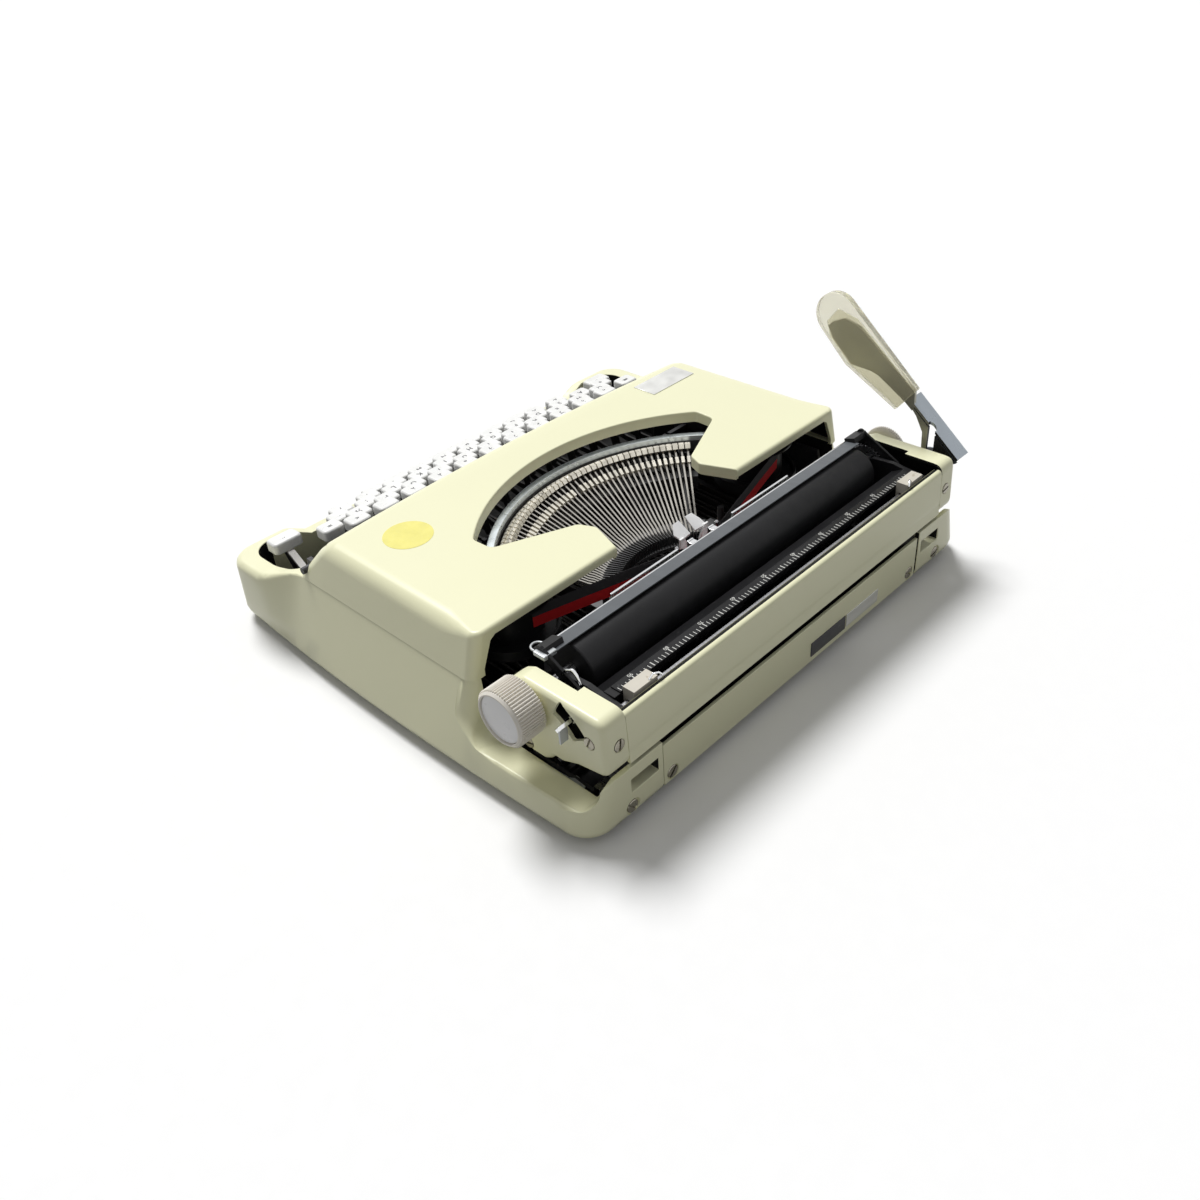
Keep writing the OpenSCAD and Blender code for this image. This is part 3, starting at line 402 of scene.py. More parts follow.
# Feet: four buttons of moulded black rubber with a rounded lower edge.
# They are pushed into holes in the floor of the base, near its corners.
def lathe(name, profile, centre, axis, steps=48, closed=False):
    """A turned piece from (along, radius) pairs about an axis through the centre, in millimetres."""
    bm = bmesh.new()
    rings = []
    for along, radius in profile:
        ring = []
        for i in range(steps if radius > 0 else 1):
            a = 2 * math.pi * i / steps
            u, v = radius * math.cos(a), radius * math.sin(a)
            offset = {"x": (along, u, v), "y": (u, along, v), "z": (u, v, along)}[axis]
            ring.append(bm.verts.new(spot(*(c + o for c, o in zip(centre, offset)))))
        rings.append(ring)
    following = rings[1:] + rings[:1] if closed else rings[1:]
    for low, high in zip(rings, following):
        n = max(len(low), len(high))
        for i in range(n):
            j = (i + 1) % n
            corners = [low[i % len(low)], low[j % len(low)], high[j % len(high)], high[i % len(high)]]
            corners = list(dict.fromkeys(corners))
            if len(corners) > 2:
                bm.faces.new(corners)
    bmesh.ops.recalc_face_normals(bm, faces=bm.faces)
    return new_object(name, bm)


repeat_tree = bpy.data.node_groups.new("repeat a piece", "GeometryNodeTree")
repeat_tree.is_modifier = True
for socket_name, socket_type in (("Piece", "NodeSocketGeometry"), ("Copies", "NodeSocketInt"),
                                 ("First place", "NodeSocketVector"), ("Pitch", "NodeSocketVector"),
                                 ("First turn", "NodeSocketVector"), ("Turn step", "NodeSocketVector"),
                                 ("Left out", "NodeSocketInt"), ("Finish", "NodeSocketMaterial")):
    repeat_tree.interface.new_socket(socket_name, in_out="INPUT", socket_type=socket_type)
repeat_tree.interface.new_socket("Pieces", in_out="OUTPUT", socket_type="NodeSocketGeometry")
tree_in = repeat_tree.nodes.new("NodeGroupInput")
row_of_points = repeat_tree.nodes.new("GeometryNodeMeshLine")
place_copies = repeat_tree.nodes.new("GeometryNodeInstanceOnPoints")
number = repeat_tree.nodes.new("GeometryNodeInputIndex")
turning = repeat_tree.nodes.new("ShaderNodeVectorMath")
turning.operation = "MULTIPLY_ADD"
kept = repeat_tree.nodes.new("FunctionNodeCompare")
kept.data_type = "INT"
kept.operation = "NOT_EQUAL"
whole = repeat_tree.nodes.new("GeometryNodeRealizeInstances")
painted = repeat_tree.nodes.new("GeometryNodeSetMaterial")
tree_out = repeat_tree.nodes.new("NodeGroupOutput")
compare_first, compare_second = [s for s in kept.inputs if s.type == "INT"][:2]
for source, target in ((tree_in.outputs["Copies"], row_of_points.inputs["Count"]),
                       (tree_in.outputs["First place"], row_of_points.inputs["Start Location"]),
                       (tree_in.outputs["Pitch"], row_of_points.inputs["Offset"]),
                       (row_of_points.outputs["Mesh"], place_copies.inputs["Points"]),
                       (tree_in.outputs["Piece"], place_copies.inputs["Instance"]),
                       (tree_in.outputs["Turn step"], turning.inputs[0]),
                       (number.outputs[0], turning.inputs[1]),
                       (tree_in.outputs["First turn"], turning.inputs[2]),
                       (turning.outputs[0], place_copies.inputs["Rotation"]),
                       (number.outputs[0], compare_first),
                       (tree_in.outputs["Left out"], compare_second),
                       (kept.outputs[0], place_copies.inputs["Selection"]),
                       (place_copies.outputs[0], whole.inputs[0]),
                       (whole.outputs[0], painted.inputs["Geometry"]),
                       (tree_in.outputs["Finish"], painted.inputs["Material"]),
                       (painted.outputs[0], tree_out.inputs[0])):
    repeat_tree.links.new(source, target)


def repeated(obj, copies, finish, first=(0, 0, 0), pitch=(0, 0, 0), turn=(0, 0, 0), step=(0, 0, 0),
             left_out=-1, about=None):
    """Copies of a piece along a row or round a point; lengths are metres and turns are degrees."""
    if about:
        obj.data.transform(Matrix.Translation(-about))
        first = about
    values = {"Copies": copies, "First place": tuple(first), "Pitch": tuple(pitch), "Left out": left_out,
              "First turn": tuple(math.radians(v) for v in turn),
              "Turn step": tuple(math.radians(v) for v in step), "Finish": finish}
    change = obj.modifiers.new("repeat", "NODES")
    change.node_group = repeat_tree
    for item in repeat_tree.interface.items_tree:
        if item.name in values:
            change[item.identifier] = values[item.name]
    return settle(obj)


foot_rubber = surface("foot rubber", (0.025, 0.025, 0.026), 0.75, mottle=0.25, grain=500, relief=0.15)
FOOT_X = 144
foot_section = [(0, 0), (0, 8), (-2.6, 7.6), (-3.6, 7), (-4, 6), (-4, 0)]
for name, y in (("front_feet", -260), ("rear_feet", -26)):
    feet = lathe(name, foot_section, (-FOOT_X, y, 0), "z")
    repeated(feet, 2, foot_rubber, pitch=(2 * FOOT_X * MM, 0, 0))
    finish_piece(feet, "case", foot_rubber, "black_rubber", "rubber_feet")

# Case screws: turned steel screws with flat, nickelled and slotted heads.
# Two hold the rear corners of the base and two the rear panel, each turned as it came to rest.
ORIGIN = (0, -REAR_WALL / MM, -BASE_FLOOR / MM)
nickel = surface("nickelled screw", (0.30, 0.28, 0.23), 0.25, metal=1.0, mottle=0.15, blotch=200,
                 worn=(0.3, 0.24, 0.15))


def screw_pair(name, body, node, radius, first, pitch, turn, step):
    """Two screws with slotted heads, a pitch apart, in millimetres and degrees."""
    section = [(-3, 0), (-3, 1.5), (-1.2, 1.5), (-1.2, radius), (-0.35, radius), (-0.1, radius - 0.35)]
    head = lathe(name, section + [(0, 0)], ORIGIN, "y", 28)
    combine(head, "DIFFERENCE", slab("slot", (-5, -152, -4.6), (5, -150, -3.4)))
    repeated(head, 2, nickel, first=spot(*first), pitch=Vector(pitch) * MM, turn=turn, step=step)
    finish_piece(head, body, nickel, "chrome", node, crease=30)


screw_pair("corner_screws", "case", "body_screws", 3.6, (-CORNER_SCREW_X, -0.1, CORNER_SCREW_Z),
           (2 * CORNER_SCREW_X, 0, 0), (0, 20, 0), (0, -65, 0))
screw_pair("panel_screws", "case", "body_screws", 3.6, (-PANEL_SCREW_X, -0.4, PANEL_SCREW_Z),
           (2 * PANEL_SCREW_X, 0, 0), (0, -30, 0), (0, 75, 0))

# Inner frame: pressed steel side plates with a slotted comb, screwed to the base, with ground rails and shaft
# and the cover's hinge pins. They are darkly plated or left bare, and only show through the openings.
plated_steel = surface("plated steel", (0.05, 0.05, 0.052), 0.5, metal=0.4, mottle=0.2, blotch=40,
                       worn=(0.14, 0.12, 0.1), Specular_IOR_Level=0.3)
ground_steel = surface("ground steel", (0.34, 0.34, 0.35), 0.28, metal=1.0, mottle=0.1, stretch=(12, 1, 1))
black_japan = surface("black lacquer", (0.012, 0.012, 0.013), 0.4, mottle=0.3, worn=(0.06, 0.06, 0.06),
                      Specular_IOR_Level=0.2)


def wear_finish(finish, *nodes):
    """Gives CAD pieces that are shown as they are a full finish."""
    for node in nodes:
        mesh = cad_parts[node].data
        mesh.materials.clear()
        mesh.materials.append(finish)


wear_finish(plated_steel, "chassis", "cover_hinge_pins")
wear_finish(ground_steel, "carriage_rails", "fulcrum_shaft")
wear_finish(black_japan, "spool_cups")

# Ribbon spools: thin stamped steel flanges round a hub of wound ribbon, in black lacquer.
# Each drops over an upright pin in its cup, under the cover.
wear_finish(black_japan, "left_spool", "right_spool")

# Ribbon: half-inch woven cotton tape, inked black above and red below.
# It is stretched from spool to spool round two posts, through the carrier in front of the platen.
ribbon_cloth = bpy.data.materials.new("two colour ribbon")
ribbon_cloth.use_nodes = True
weave = ribbon_cloth.node_tree
cloth = weave.nodes["Principled BSDF"]
cloth.inputs["Roughness"].default_value = 0.8
weave_place = weave.nodes.new("ShaderNodeTexCoord")
weave_height = weave.nodes.new("ShaderNodeSeparateXYZ")
weave_edge = weave.nodes.new("ShaderNodeMath")
weave_edge.operation = "GREATER_THAN"
RIBBON_LOW, RIBBON_WIDTH = 46.6, 12.7
weave_edge.inputs[1].default_value = (RIBBON_LOW + RIBBON_WIDTH / 2) * MM + BASE_FLOOR
weave_mix = weave.nodes.new("ShaderNodeMix")
weave_mix.data_type = "RGBA"
weave_mix.inputs["A"].default_value = (0.62, 0.008, 0.012, 1)
weave_mix.inputs["B"].default_value = (0.018, 0.016, 0.018, 1)
threads = weave.nodes.new("ShaderNodeTexNoise")
threads.inputs["Scale"].default_value = 1800
thread_relief = weave.nodes.new("ShaderNodeBump")
thread_relief.inputs["Strength"].default_value = 0.25
thread_relief.inputs["Distance"].default_value = 0.0002
for source, target in ((weave_place.outputs["Object"], weave_height.inputs[0]),
                       (weave_height.outputs["Z"], weave_edge.inputs[0]),
                       (weave_edge.outputs[0], weave_mix.inputs["Factor"]),
                       (weave_mix.outputs["Result"], cloth.inputs["Base Color"]),
                       (weave_place.outputs["Object"], threads.inputs["Vector"]),
                       (threads.outputs["Fac"], thread_relief.inputs["Height"]),
                       (thread_relief.outputs["Normal"], cloth.inputs["Normal"])):
    weave.links.new(source, target)
ribbon_half = [(9, -65.96), (13, -68.4), (17, -71.2), (46, -79.6), (75, -87.9), (104, -95.85)]
ribbon_line = [(-x, y) for x, y in reversed(ribbon_half)] + ribbon_half
tape = bmesh.new()
heights = [RIBBON_LOW + RIBBON_WIDTH * k / 4 for k in range(5)]
columns = [[tape.verts.new(spot(x, y, z)) for z in heights] for x, y in ribbon_line]
for near, far in zip(columns, columns[1:]):
    for k in range(4):
        tape.faces.new((near[k], far[k], far[k + 1], near[k + 1]))
ribbon = new_object("ribbon_tape", tape)
thicken = ribbon.modifiers.new("cloth", "SOLIDIFY")
thicken.thickness = 0.12 * MM
thicken.offset = 0
settle(ribbon)
finish_piece(ribbon, "case", ribbon_cloth, "ribbon_cloth", "ribbon")

# Card holder: a steel cross bar on two struts with clear plates beside the printing point, two ribbon posts
# and a pair of white type guides whose edges form a notch that centres each type bar.
def fillet(outline, radius, least=12.0, steps=5):
    """An outline with its sharp corners rounded."""
    smooth = []
    n = len(outline)
    for i, corner in enumerate(outline):
        here, before, after = Vector(corner), Vector(outline[i - 1]), Vector(outline[(i + 1) % n])
        inward, outward = (here - before), (after - here)
        turn = abs(math.degrees(inward.angle_signed(outward, 0)))
        if turn < least:
            smooth.append(tuple(here))
            continue
        reach = radius * math.tan(math.radians(min(turn, 150)) / 2)
        reach = min(reach, 0.48 * inward.length, 0.48 * outward.length)
        start, end = here - inward.normalized() * reach, here + outward.normalized() * reach
        for k in range(steps + 1):
            t = k / steps
            smooth.append(tuple(start * (1 - t) ** 2 + here * 2 * t * (1 - t) + end * t ** 2))
    return smooth


def hull(name, points):
    """The tightest solid round its points, without the edges between level faces."""
    bm = bmesh.new()
    for p in points:
        bm.verts.new(p)
    found = bmesh.ops.convex_hull(bm, input=bm.verts)
    loose = found["geom_interior"] + found["geom_unused"]
    spare = {g for g in loose if isinstance(g, bmesh.types.BMVert)}
    bmesh.ops.delete(bm, geom=list(spare), context="VERTS")
    bmesh.ops.dissolve_limit(bm, angle_limit=math.radians(0.6), verts=bm.verts, edges=bm.edges)
    bmesh.ops.recalc_face_normals(bm, faces=bm.faces)
    return new_object(name, bm)


chrome = surface("bright chrome", (0.72, 0.73, 0.74), 0.16, metal=1.0, mottle=0.08, blotch=60, relief=0.015)
bracket = slab("card_bracket", (-76, -75, 40), (76, -72, 45), 0.4)
for side in (-1, 1):
    strut = [(-98, 15.6), (-94, 15.6), (-72, 41), (-72, 45), (-76, 45)]
    low, high = sorted((side * 70, side * 74))
    combine(bracket, "UNION", prism("strut", strut, "x", low, high))
    low, high = sorted((side * 70, side * 76))
    combine(bracket, "UNION", slab("foot", (low, -73, 42), (high, -66.7, 45)))
finish_piece(bracket, "case", plated_steel, "steel", "card_holder")
clear_card = surface("clear card plate", (0.82, 0.84, 0.8), 0.12, mottle=0.03, relief=0.02,
                     Transmission_Weight=0.9, IOR=1.49)
white_guide = surface("white guide", (0.96, 0.96, 0.96), 0.3, mottle=0.08, worn=(0.4, 0.38, 0.33))
POST_X = 17
post_section = [(44.5, 0), (44.5, 1.2), (59.4, 1.2), (60, 0.7), (60, 0)]
posts = lathe("ribbon_posts", post_section, (-POST_X, -73.2, 0), "z", 20)
repeated(posts, 2, ground_steel, pitch=(2 * POST_X * MM, 0, 0))
finish_piece(posts, "case", ground_steel, "steel", "card_holder")
for side, word in ((-1, "left"), (1, "right")):
    low, high = sorted((side * 22, side * 76))
    card_line = fillet([(low, 45), (high, 45), (high, 64), (low, 64)], 3)
    card = soften(prism(word + "_card_plate", card_line, "y", -67.5, -66.7), 0.2, 1)
    finish_piece(card, "case", clear_card, "steel", "card_holder")
    guide_line = [(side * x, z) for x, z in ((4.5, 40), (12, 40), (12, 61), (8.6, 61), (4.5, 54))]
    guide = soften(prism(word + "_type_guide", guide_line, "y", -76.2, -75), 0.25, 2)
    finish_piece(guide, "case", white_guide, "steel", "card_holder")
    wing = [(2.0, -76.4, 60), (10.5, -75.6, 60.2), (11.2, -80.5, 61.7), (8, -84, 65.4), (2.6, -84.2, 65.6)]
    wing = hull(word + "_guide_wing", [spot(side * x, y, z - drop) for x, y, z in wing for drop in (0, 1)])
    finish_piece(wing, "case", white_guide, "steel", "card_holder")
    # A chrome strip along the top of each clear plate is a painted highlight on the plate's edge.
    low, high = sorted((side * 23, side * 75))
    edge = slab(word + "_card_edge_glint", (low, -68.1, 63.5), (high, -66.9, 64.4), 0.2, 1)
    finish_piece(edge, "case", chrome, "steel", "card_holder")

# Ribbon carrier: a forked strip of bent and chromed steel.
# It slides up behind the card holder and lifts the ribbon in front of the type.
def dressed(name, node, body, finish, slot, soft=0.3, steps=2):
    """A copy of a CAD piece with merged faces, softened edges and a full finish."""
    bm = bmesh.new()
    bm.from_mesh(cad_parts[node].data)
    bmesh.ops.remove_doubles(bm, verts=bm.verts, dist=4e-6)
    bmesh.ops.dissolve_limit(bm, angle_limit=math.radians(1), verts=bm.verts, edges=bm.edges)
    obj = new_object(name, bm)
    soften(obj, soft, steps, least=40)
    return finish_piece(obj, body, finish, slot, node)


dressed("ribbon_carrier", "ribbon_vibrator", "vibrator", chrome, "chrome", 0.2)

# Type basket: a slotted cast segment holds the fan of bars on one bent wire, over a padded steel crescent.
# Each bar is a flat stamped steel strip, wider at both ends, with a two-character slug soldered to its tip.
segment_steel = surface("segment casting", (0.09, 0.09, 0.092), 0.42, metal=0.6, mottle=0.2,
                        worn=(0.3, 0.3, 0.3))
crescent_steel = surface("crescent steel", (0.74, 0.80, 0.83), 0.3, metal=0.5, mottle=0.15,
                         worn=(0.75, 0.75, 0.74))
bar_steel = surface("type bar steel", (0.46, 0.44, 0.40), 0.28, metal=1.0, mottle=0.2, blotch=70)
type_metal = surface("type metal", (0.82, 0.78, 0.68), 0.3, metal=0.7, mottle=0.25, blotch=160,
                     worn=(0.10, 0.09, 0.08))
wear_finish(segment_steel, "segment")
dressed("type_crescent", "type_rest", "basket", segment_steel, "steel", 0.5)
FAN_Y = -65.506
FAN_HALF, BARS = 44.0, 43
BAND_OUTER, BAND_INNER = 121.4, 117
band_line = arc(0, FAN_Y, BAND_OUTER, -140, -40, 60) + arc(0, FAN_Y, BAND_INNER, -40, -140, 60)
band = soften(prism("type_crescent_band", band_line, "z", 50, 61.2), 0.5, 2, least=60)
finish_piece(band, "basket", crescent_steel, "steel", "type_rest")
PIVOT, NECK, TIP = Vector((57, 28)), Vector((110.06, 55.66)), Vector((112.25, 59.0))
FACE_TILT, TAIL_TILT, TAIL_ROUND = math.radians(56.8), 207.5, 2.3
BAR_HALF, SLUG_HALF, SADDLE_HALF, MIDDLE_SLUG_HALF = 0.55, 1.55, 1.0, 1.4
along_bar = (NECK - PIVOT).normalized()
across_bar = Vector((-along_bar.y, along_bar.x))


def in_fan(points):
    """Points given as (distance from the fan's axis, height), as an outline in the middle plane."""
    return [(FAN_Y - reach, height) for reach, height in points]


def bar_form(pairs, tail=()):
    """A closed strip about the bar's middle line, from (distance from the pivot, half width) pairs."""
    one_side = [PIVOT + along_bar * run + across_bar * half for run, half in pairs]
    other_side = [PIVOT + along_bar * run - across_bar * half for run, half in reversed(pairs)]
    return in_fan(one_side + other_side + list(tail))


tail_turns = [math.radians(TAIL_TILT + v) for v in (60, 20, -20, -60)]
bar_tail = [PIVOT + Vector((math.cos(a), math.sin(a))) * TAIL_ROUND for a in tail_turns]
bar_widths = [(2, 1.9), (9, 1.9), (12, 1.25), (46, 1.15), (50, 1.3), (53, 2.1), (59.5, 2.1)]
bar_outline = bar_form(bar_widths, bar_tail)
saddle_outline = bar_form([(48.5, 2.6), (53, 2.6)])
slug_steps = [(-4, -4.5), (-1.1, -4.5), (-1.1, -3.5), (0, -3.2), (0, -1.2), (-1.1, -0.9)]
slug_steps += [(s, -t) for s, t in reversed(slug_steps)]
face_out = Vector((math.cos(FACE_TILT), math.sin(FACE_TILT)))
face_up = Vector((-face_out.y, face_out.x))
slug_outline = in_fan([TIP + face_out * s + face_up * t for s, t in slug_steps])
fan = {"turn": (0, 0, -FAN_HALF), "step": (0, 0, 2 * FAN_HALF / (BARS - 1)), "left_out": (BARS - 1) // 2,
       "about": spot(0, FAN_Y, 0)}
for name, outline, half, finish in (("type_bars", bar_outline, BAR_HALF, bar_steel),
                                    ("type_slugs", slug_outline, SLUG_HALF, type_metal),
                                    ("type_saddles", saddle_outline, SADDLE_HALF, type_metal)):
    whole_fan = repeated(prism(name, outline, "x", -half, half), BARS, finish, **fan)
    finish_piece(whole_fan, "basket", finish, "type_metal", "typebars")
middle_bar = soften(prism("middle_type_bar", bar_outline, "x", -BAR_HALF, BAR_HALF), 0.12, 1)
finish_piece(middle_bar, "letter_bar", bar_steel, "type_metal", "sample_typebar")
middle_slug = prism("middle_type_slug", slug_outline, "x", -MIDDLE_SLUG_HALF, MIDDLE_SLUG_HALF)
soften(middle_slug, 0.15, 1)
finish_piece(middle_slug, "letter_bar", type_metal, "type_metal", "sample_typebar")

# Keys: white moulded caps with a dished top, pressed on flat steel levers in four stepped rows.
# The characters are moulded in dark grey and stand a hair above the dish.
key_plastic = surface("white key plastic", (0.93, 0.93, 0.91), 0.3, mottle=0.03, blotch=60,
                      worn=(0.84, 0.82, 0.76))
key_ink = surface("key characters", (0.045, 0.045, 0.05), 0.5, mottle=0.2)
# The levers' near-black colour is painted shade for the dark inside of the machine; the rubbed flecks are
# wear.
lever_steel_painted_shade = surface("key lever painted shade", (0.03, 0.029, 0.028), 0.45, metal=0.2, mottle=0.2,
                      worn=(0.1, 0.08, 0.06), Specular_IOR_Level=0.2)
KEY_PITCH, FIRST_KEY = 20.4, -109.9
KEY_WIDTH, KEY_DEPTH, CAP_HEIGHT = 14, 11, 7
LEVER_SHAFT, LEVER_HALF = (-48, 6.5), 0.8
BOLD = 0.1
ROW_STAGGER = {"number": 0, "upper": 0.5, "home": 0.75, "lower": 1.25}
ROW_PLACE = {"number": (-228.0, 68), "upper": (-242.6, 62), "home": (-257.2, 56), "lower": (-271.8, 50)}
DISH, DISH_ROUND = 0.8, 80.0


def key_x(row, index):
    return FIRST_KEY + KEY_PITCH * (index + ROW_STAGGER[row])


def dish_z(x, y):
    """How far a point of the key's top lies below its rim."""
    return min(0.0, -DISH + (x * x + y * y) / DISH_ROUND)


def key_cap(name, width, depth, x, y, top):
    """A cap with rounded corners and a dished top, centred on the key."""
    bm = bmesh.new()
    rings = []
    for inset, drop, dished in ((0.5, -CAP_HEIGHT, False), (0, 0.6 - CAP_HEIGHT, False), (0, -1.5, False),
                                (0.25, -0.75, True), (0.9, -0.1, True), (1.5, 0.02, True), (3.2, 0, True)):
        corner = max(2.6 - inset * 0.6, 0.6)
        half_x, half_y = width / 2 - inset - corner, depth / 2 - inset - corner
        ring = []
        for cx, cy, start in ((1, 1, 0), (-1, 1, 90), (-1, -1, 180), (1, -1, 270)):
            for k in range(5):
                a = math.radians(start + 22.5 * k)
                px, py = cx * half_x + corner * math.cos(a), cy * half_y + corner * math.sin(a)
                z = top + drop + (dish_z(px, py) if dished else 0)
                ring.append(bm.verts.new(spot(x + px, y + py, z)))
        rings.append(ring)
    for low, high in zip(rings, rings[1:]):
        for i in range(20):
            bm.faces.new((low[i], low[(i + 1) % 20], high[(i + 1) % 20], high[i]))
    bm.faces.new(rings[0])
    middle = bm.verts.new(spot(x, y, top - DISH))
    for i in range(20):
        bm.faces.new((rings[-1][i], rings[-1][(i + 1) % 20], middle))
    bmesh.ops.recalc_face_normals(bm, faces=bm.faces)
    return new_object(name, bm)


def characters(name, marks, laid, bold):
    """Thin raised characters; marks are (text, height, place), and laid puts a point of one in its place."""
    bm = bmesh.new()
    for text, height, place in marks:
        curve = bpy.data.curves.new("mark", "FONT")
        curve.body, curve.size, curve.align_x, curve.align_y = text, height * MM, "CENTER", "CENTER"
        curve.extrude, curve.resolution_u, curve.offset = 0.05 * MM, 2, bold * MM
        holder = bpy.data.objects.new("mark", curve)
        bpy.context.scene.collection.objects.link(holder)
        mesh = plain_mesh(holder)
        for v in mesh.vertices:
            v.co = laid(v.co, place)
        bm.from_mesh(mesh)
        bpy.data.objects.remove(holder)
    bmesh.ops.remove_doubles(bm, verts=bm.verts, dist=1e-6)
    return new_object(name, bm)


def in_dish(point, place):
    """A character's point laid on a dished key top; place is (x, y, top, shift up)."""
    x, y, top, up = place
    px, py = point.x / MM, point.y / MM + up
    raised = 0.09 if point.z > 0 else -0.06
    return spot(x + px, y + py, top + dish_z(px, py) + raised)


def drill(name, radius, low, high, centre, axis, steps):
    """A round tool for a bore or a screw seat, from low to high along its axis."""
    return lathe(name, [(low, 0), (low, radius), (high, radius), (high, 0)], centre, axis, steps)


def key_lever(name, y, below):
    """A flat stamped lever in the middle plane, from the shaft at the rear to the underside of a cap."""
    outline = [(y + 22, 16.8), (y + 10, 19.4), (y - 2.5, below - 5), (y - 2.5, below), (y + 2.5, below),
               (y + 2.5, below - 4), (y + 14, 23), (y + 24, 20.6)] + arc(*LEVER_SHAFT, 4.2, 100, -80, 10)
    lever = prism(name, outline, "x", -LEVER_HALF, LEVER_HALF)
    return combine(lever, "DIFFERENCE", drill("bore", 2.1, -2, 2, (0, *LEVER_SHAFT), "x", 24))


def single_key(tag, mark_name, body, node, width, place, text, height):
    """One key that moves by itself: its cap, its character and its lever."""
    x, y, top = place
    finish_piece(key_cap(tag + "_cap", width, KEY_DEPTH, x, y, top), body, key_plastic, "white_keys", node)
    mark = characters(mark_name, [(text, height, (x, y, top, 0))], in_dish, BOLD)
    finish_piece(mark, body, key_ink, "white_keys", node)
    lever = key_lever(tag + "_lever", y, top - CAP_HEIGHT)
    lever.data.transform(Matrix.Translation((x * MM, 0, 0)))
    finish_piece(lever, body, lever_steel_painted_shade, "white_keys", node)


row_keys = {
    "number": ("234567890-", 1, '"/@£_&\'()*'),
    "upper": ("QWERTYUIOP½=", 0, ""),
    "home": ("ASDFGHJKL;'", 0, ""),
    "lower": ("ZXCVBNM,./", 0, "")}
LETTER_KEY_ROW, LETTER_KEY_PLACE = "home", 5
for row, (letters, first, above) in row_keys.items():
    y, top = ROW_PLACE[row]
    missing = LETTER_KEY_PLACE if row == LETTER_KEY_ROW else -1
    caps = key_cap(row + "_row_keys", KEY_WIDTH, KEY_DEPTH, 0, y, top)
    repeated(caps, len(letters), key_plastic, first=(key_x(row, first) * MM, 0, 0),
             pitch=(KEY_PITCH * MM, 0, 0), left_out=missing)
    finish_piece(caps, row + "_row", key_plastic, "white_keys", row + "_row_caps")
    marks = []
    for i, letter in enumerate(letters):
        x = key_x(row, first + i)
        if above:
            marks += [(letter, 4.5, (x, y, top, -1.9)), (above[i], 3.6, (x, y, top, 2.4))]
        elif i != missing:
            marks.append((letter, 5.0, (x, y, top, 0)))
    row_marks = characters(row + "_row_letters", marks, in_dish, BOLD)
    finish_piece(row_marks, row + "_row", key_ink, "white_keys", row + "_row_caps")
    wear_finish(lever_steel_painted_shade, row + "_row_levers")
    if row == LETTER_KEY_ROW:
        single_key("letter_key", "letter_key_letter", "letter_key", "sample_key", KEY_WIDTH,
                   (key_x(row, LETTER_KEY_PLACE), y, top), "H", 5.0)

# Working keys: margin release and backspace end the number row, and the shift lock starts the home row.
# Two wide shift keys end the lower row on a shared steel cross bar. All are made like the letter keys.
SHIFT_WIDTH = 19
for tag, body, node, row, index, text, width in (
        ("margin_release", "margin_release", "margin_release_key", "number", 0, "MR", KEY_WIDTH),
        ("backspace", "backspace", "backspace_key", "number", 11, "<", KEY_WIDTH),
        ("shift_lock", "shift_lock", "shift_lock_key", "home", -1, "o", KEY_WIDTH),
        ("shift", "shift", "shift_keys", "lower", -2, "^", SHIFT_WIDTH),
        ("shift_right", "shift", "shift_keys", "lower", 11, "^", SHIFT_WIDTH)):
    place = (key_x(row, index), *ROW_PLACE[row])
    single_key(tag, tag + "_mark", body, node, width, place, text, 4.0 if len(text) == 1 else 3.0)
LEFT_SHIFT_X, RIGHT_SHIFT_X = -125.2, 140
bright_lever = surface("bright lever", (0.78, 0.76, 0.72), 0.3, metal=0.5, mottle=0.1)
strip_ends = [(-272.4, 44.2), (-269.8, 44.2), (-257.2, 33.4), (-255.6, 34.8)]
strip_sides = (RIGHT_SHIFT_X - 2.2, RIGHT_SHIFT_X + 2.2)
shift_strip = hull("right_shift_strip", [spot(x, y, z) for x in strip_sides for y, z in strip_ends])
finish_piece(soften(shift_strip, 0.3, 2), "shift", bright_lever, "white_keys", "shift_keys")
shift_bar = slab("shift_cross_bar", (LEFT_SHIFT_X, -42, 5), (RIGHT_SHIFT_X, -39, 8), 0.3)
for x in (LEFT_SHIFT_X, RIGHT_SHIFT_X):
    arm = slab("shift_arm", (x - LEVER_HALF, -45, 4.5), (x + LEVER_HALF, -39, 8))
    combine(shift_bar, "UNION", arm)
finish_piece(shift_bar, "shift", lever_steel_painted_shade, "white_keys", "shift_keys")

# Space bar: a long white moulding with rounded edges in front of the lower row.
# It is clipped on two stamped levers of its own, which turn on the same shaft as the keys.
BAR_END = 74
bar_section = fillet([(-288.3, 39), (-280.3, 39), (-280.3, 44), (-288.3, 44)], 1.6)
bar_top = soften(prism("space_bar_top", bar_section, "x", -BAR_END, BAR_END), 1.0, 3, least=60)
finish_piece(bar_top, "space", key_plastic, "white_keys", "space_bar")
for word, keys_along in (("left", 2.375), ("right", 8.375)):
    lever = key_lever("space_lever_" + word, -282.5, 30)
    combine(lever, "UNION", slab("stalk", (-LEVER_HALF, -285, 29.5), (LEVER_HALF, -280.3, 39.2)))
    lever.data.transform(Matrix.Translation(((FIRST_KEY + KEY_PITCH * keys_along) * MM, 0, 0)))
    finish_piece(lever, "space", lever_steel_painted_shade, "white_keys", "space_bar")

# Top cover: a pressed steel lid, wider at its foot, painted like the base, hinged at its front lower corners.
# The opening over the type basket has a turned-down rim; a bare plate and a round paper spot lie on its top.
def grow(outline, amount):
    """An outline moved outwards by an amount, given counter-clockwise."""
    grown = []
    n = len(outline)
    for i, corner in enumerate(outline):
        before, after = Vector(outline[i - 1]), Vector(outline[(i + 1) % n])
        tangent = (after - before).normalized()
        grown.append((corner[0] + tangent.y * amount, corner[1] - tangent.x * amount))
    return grown


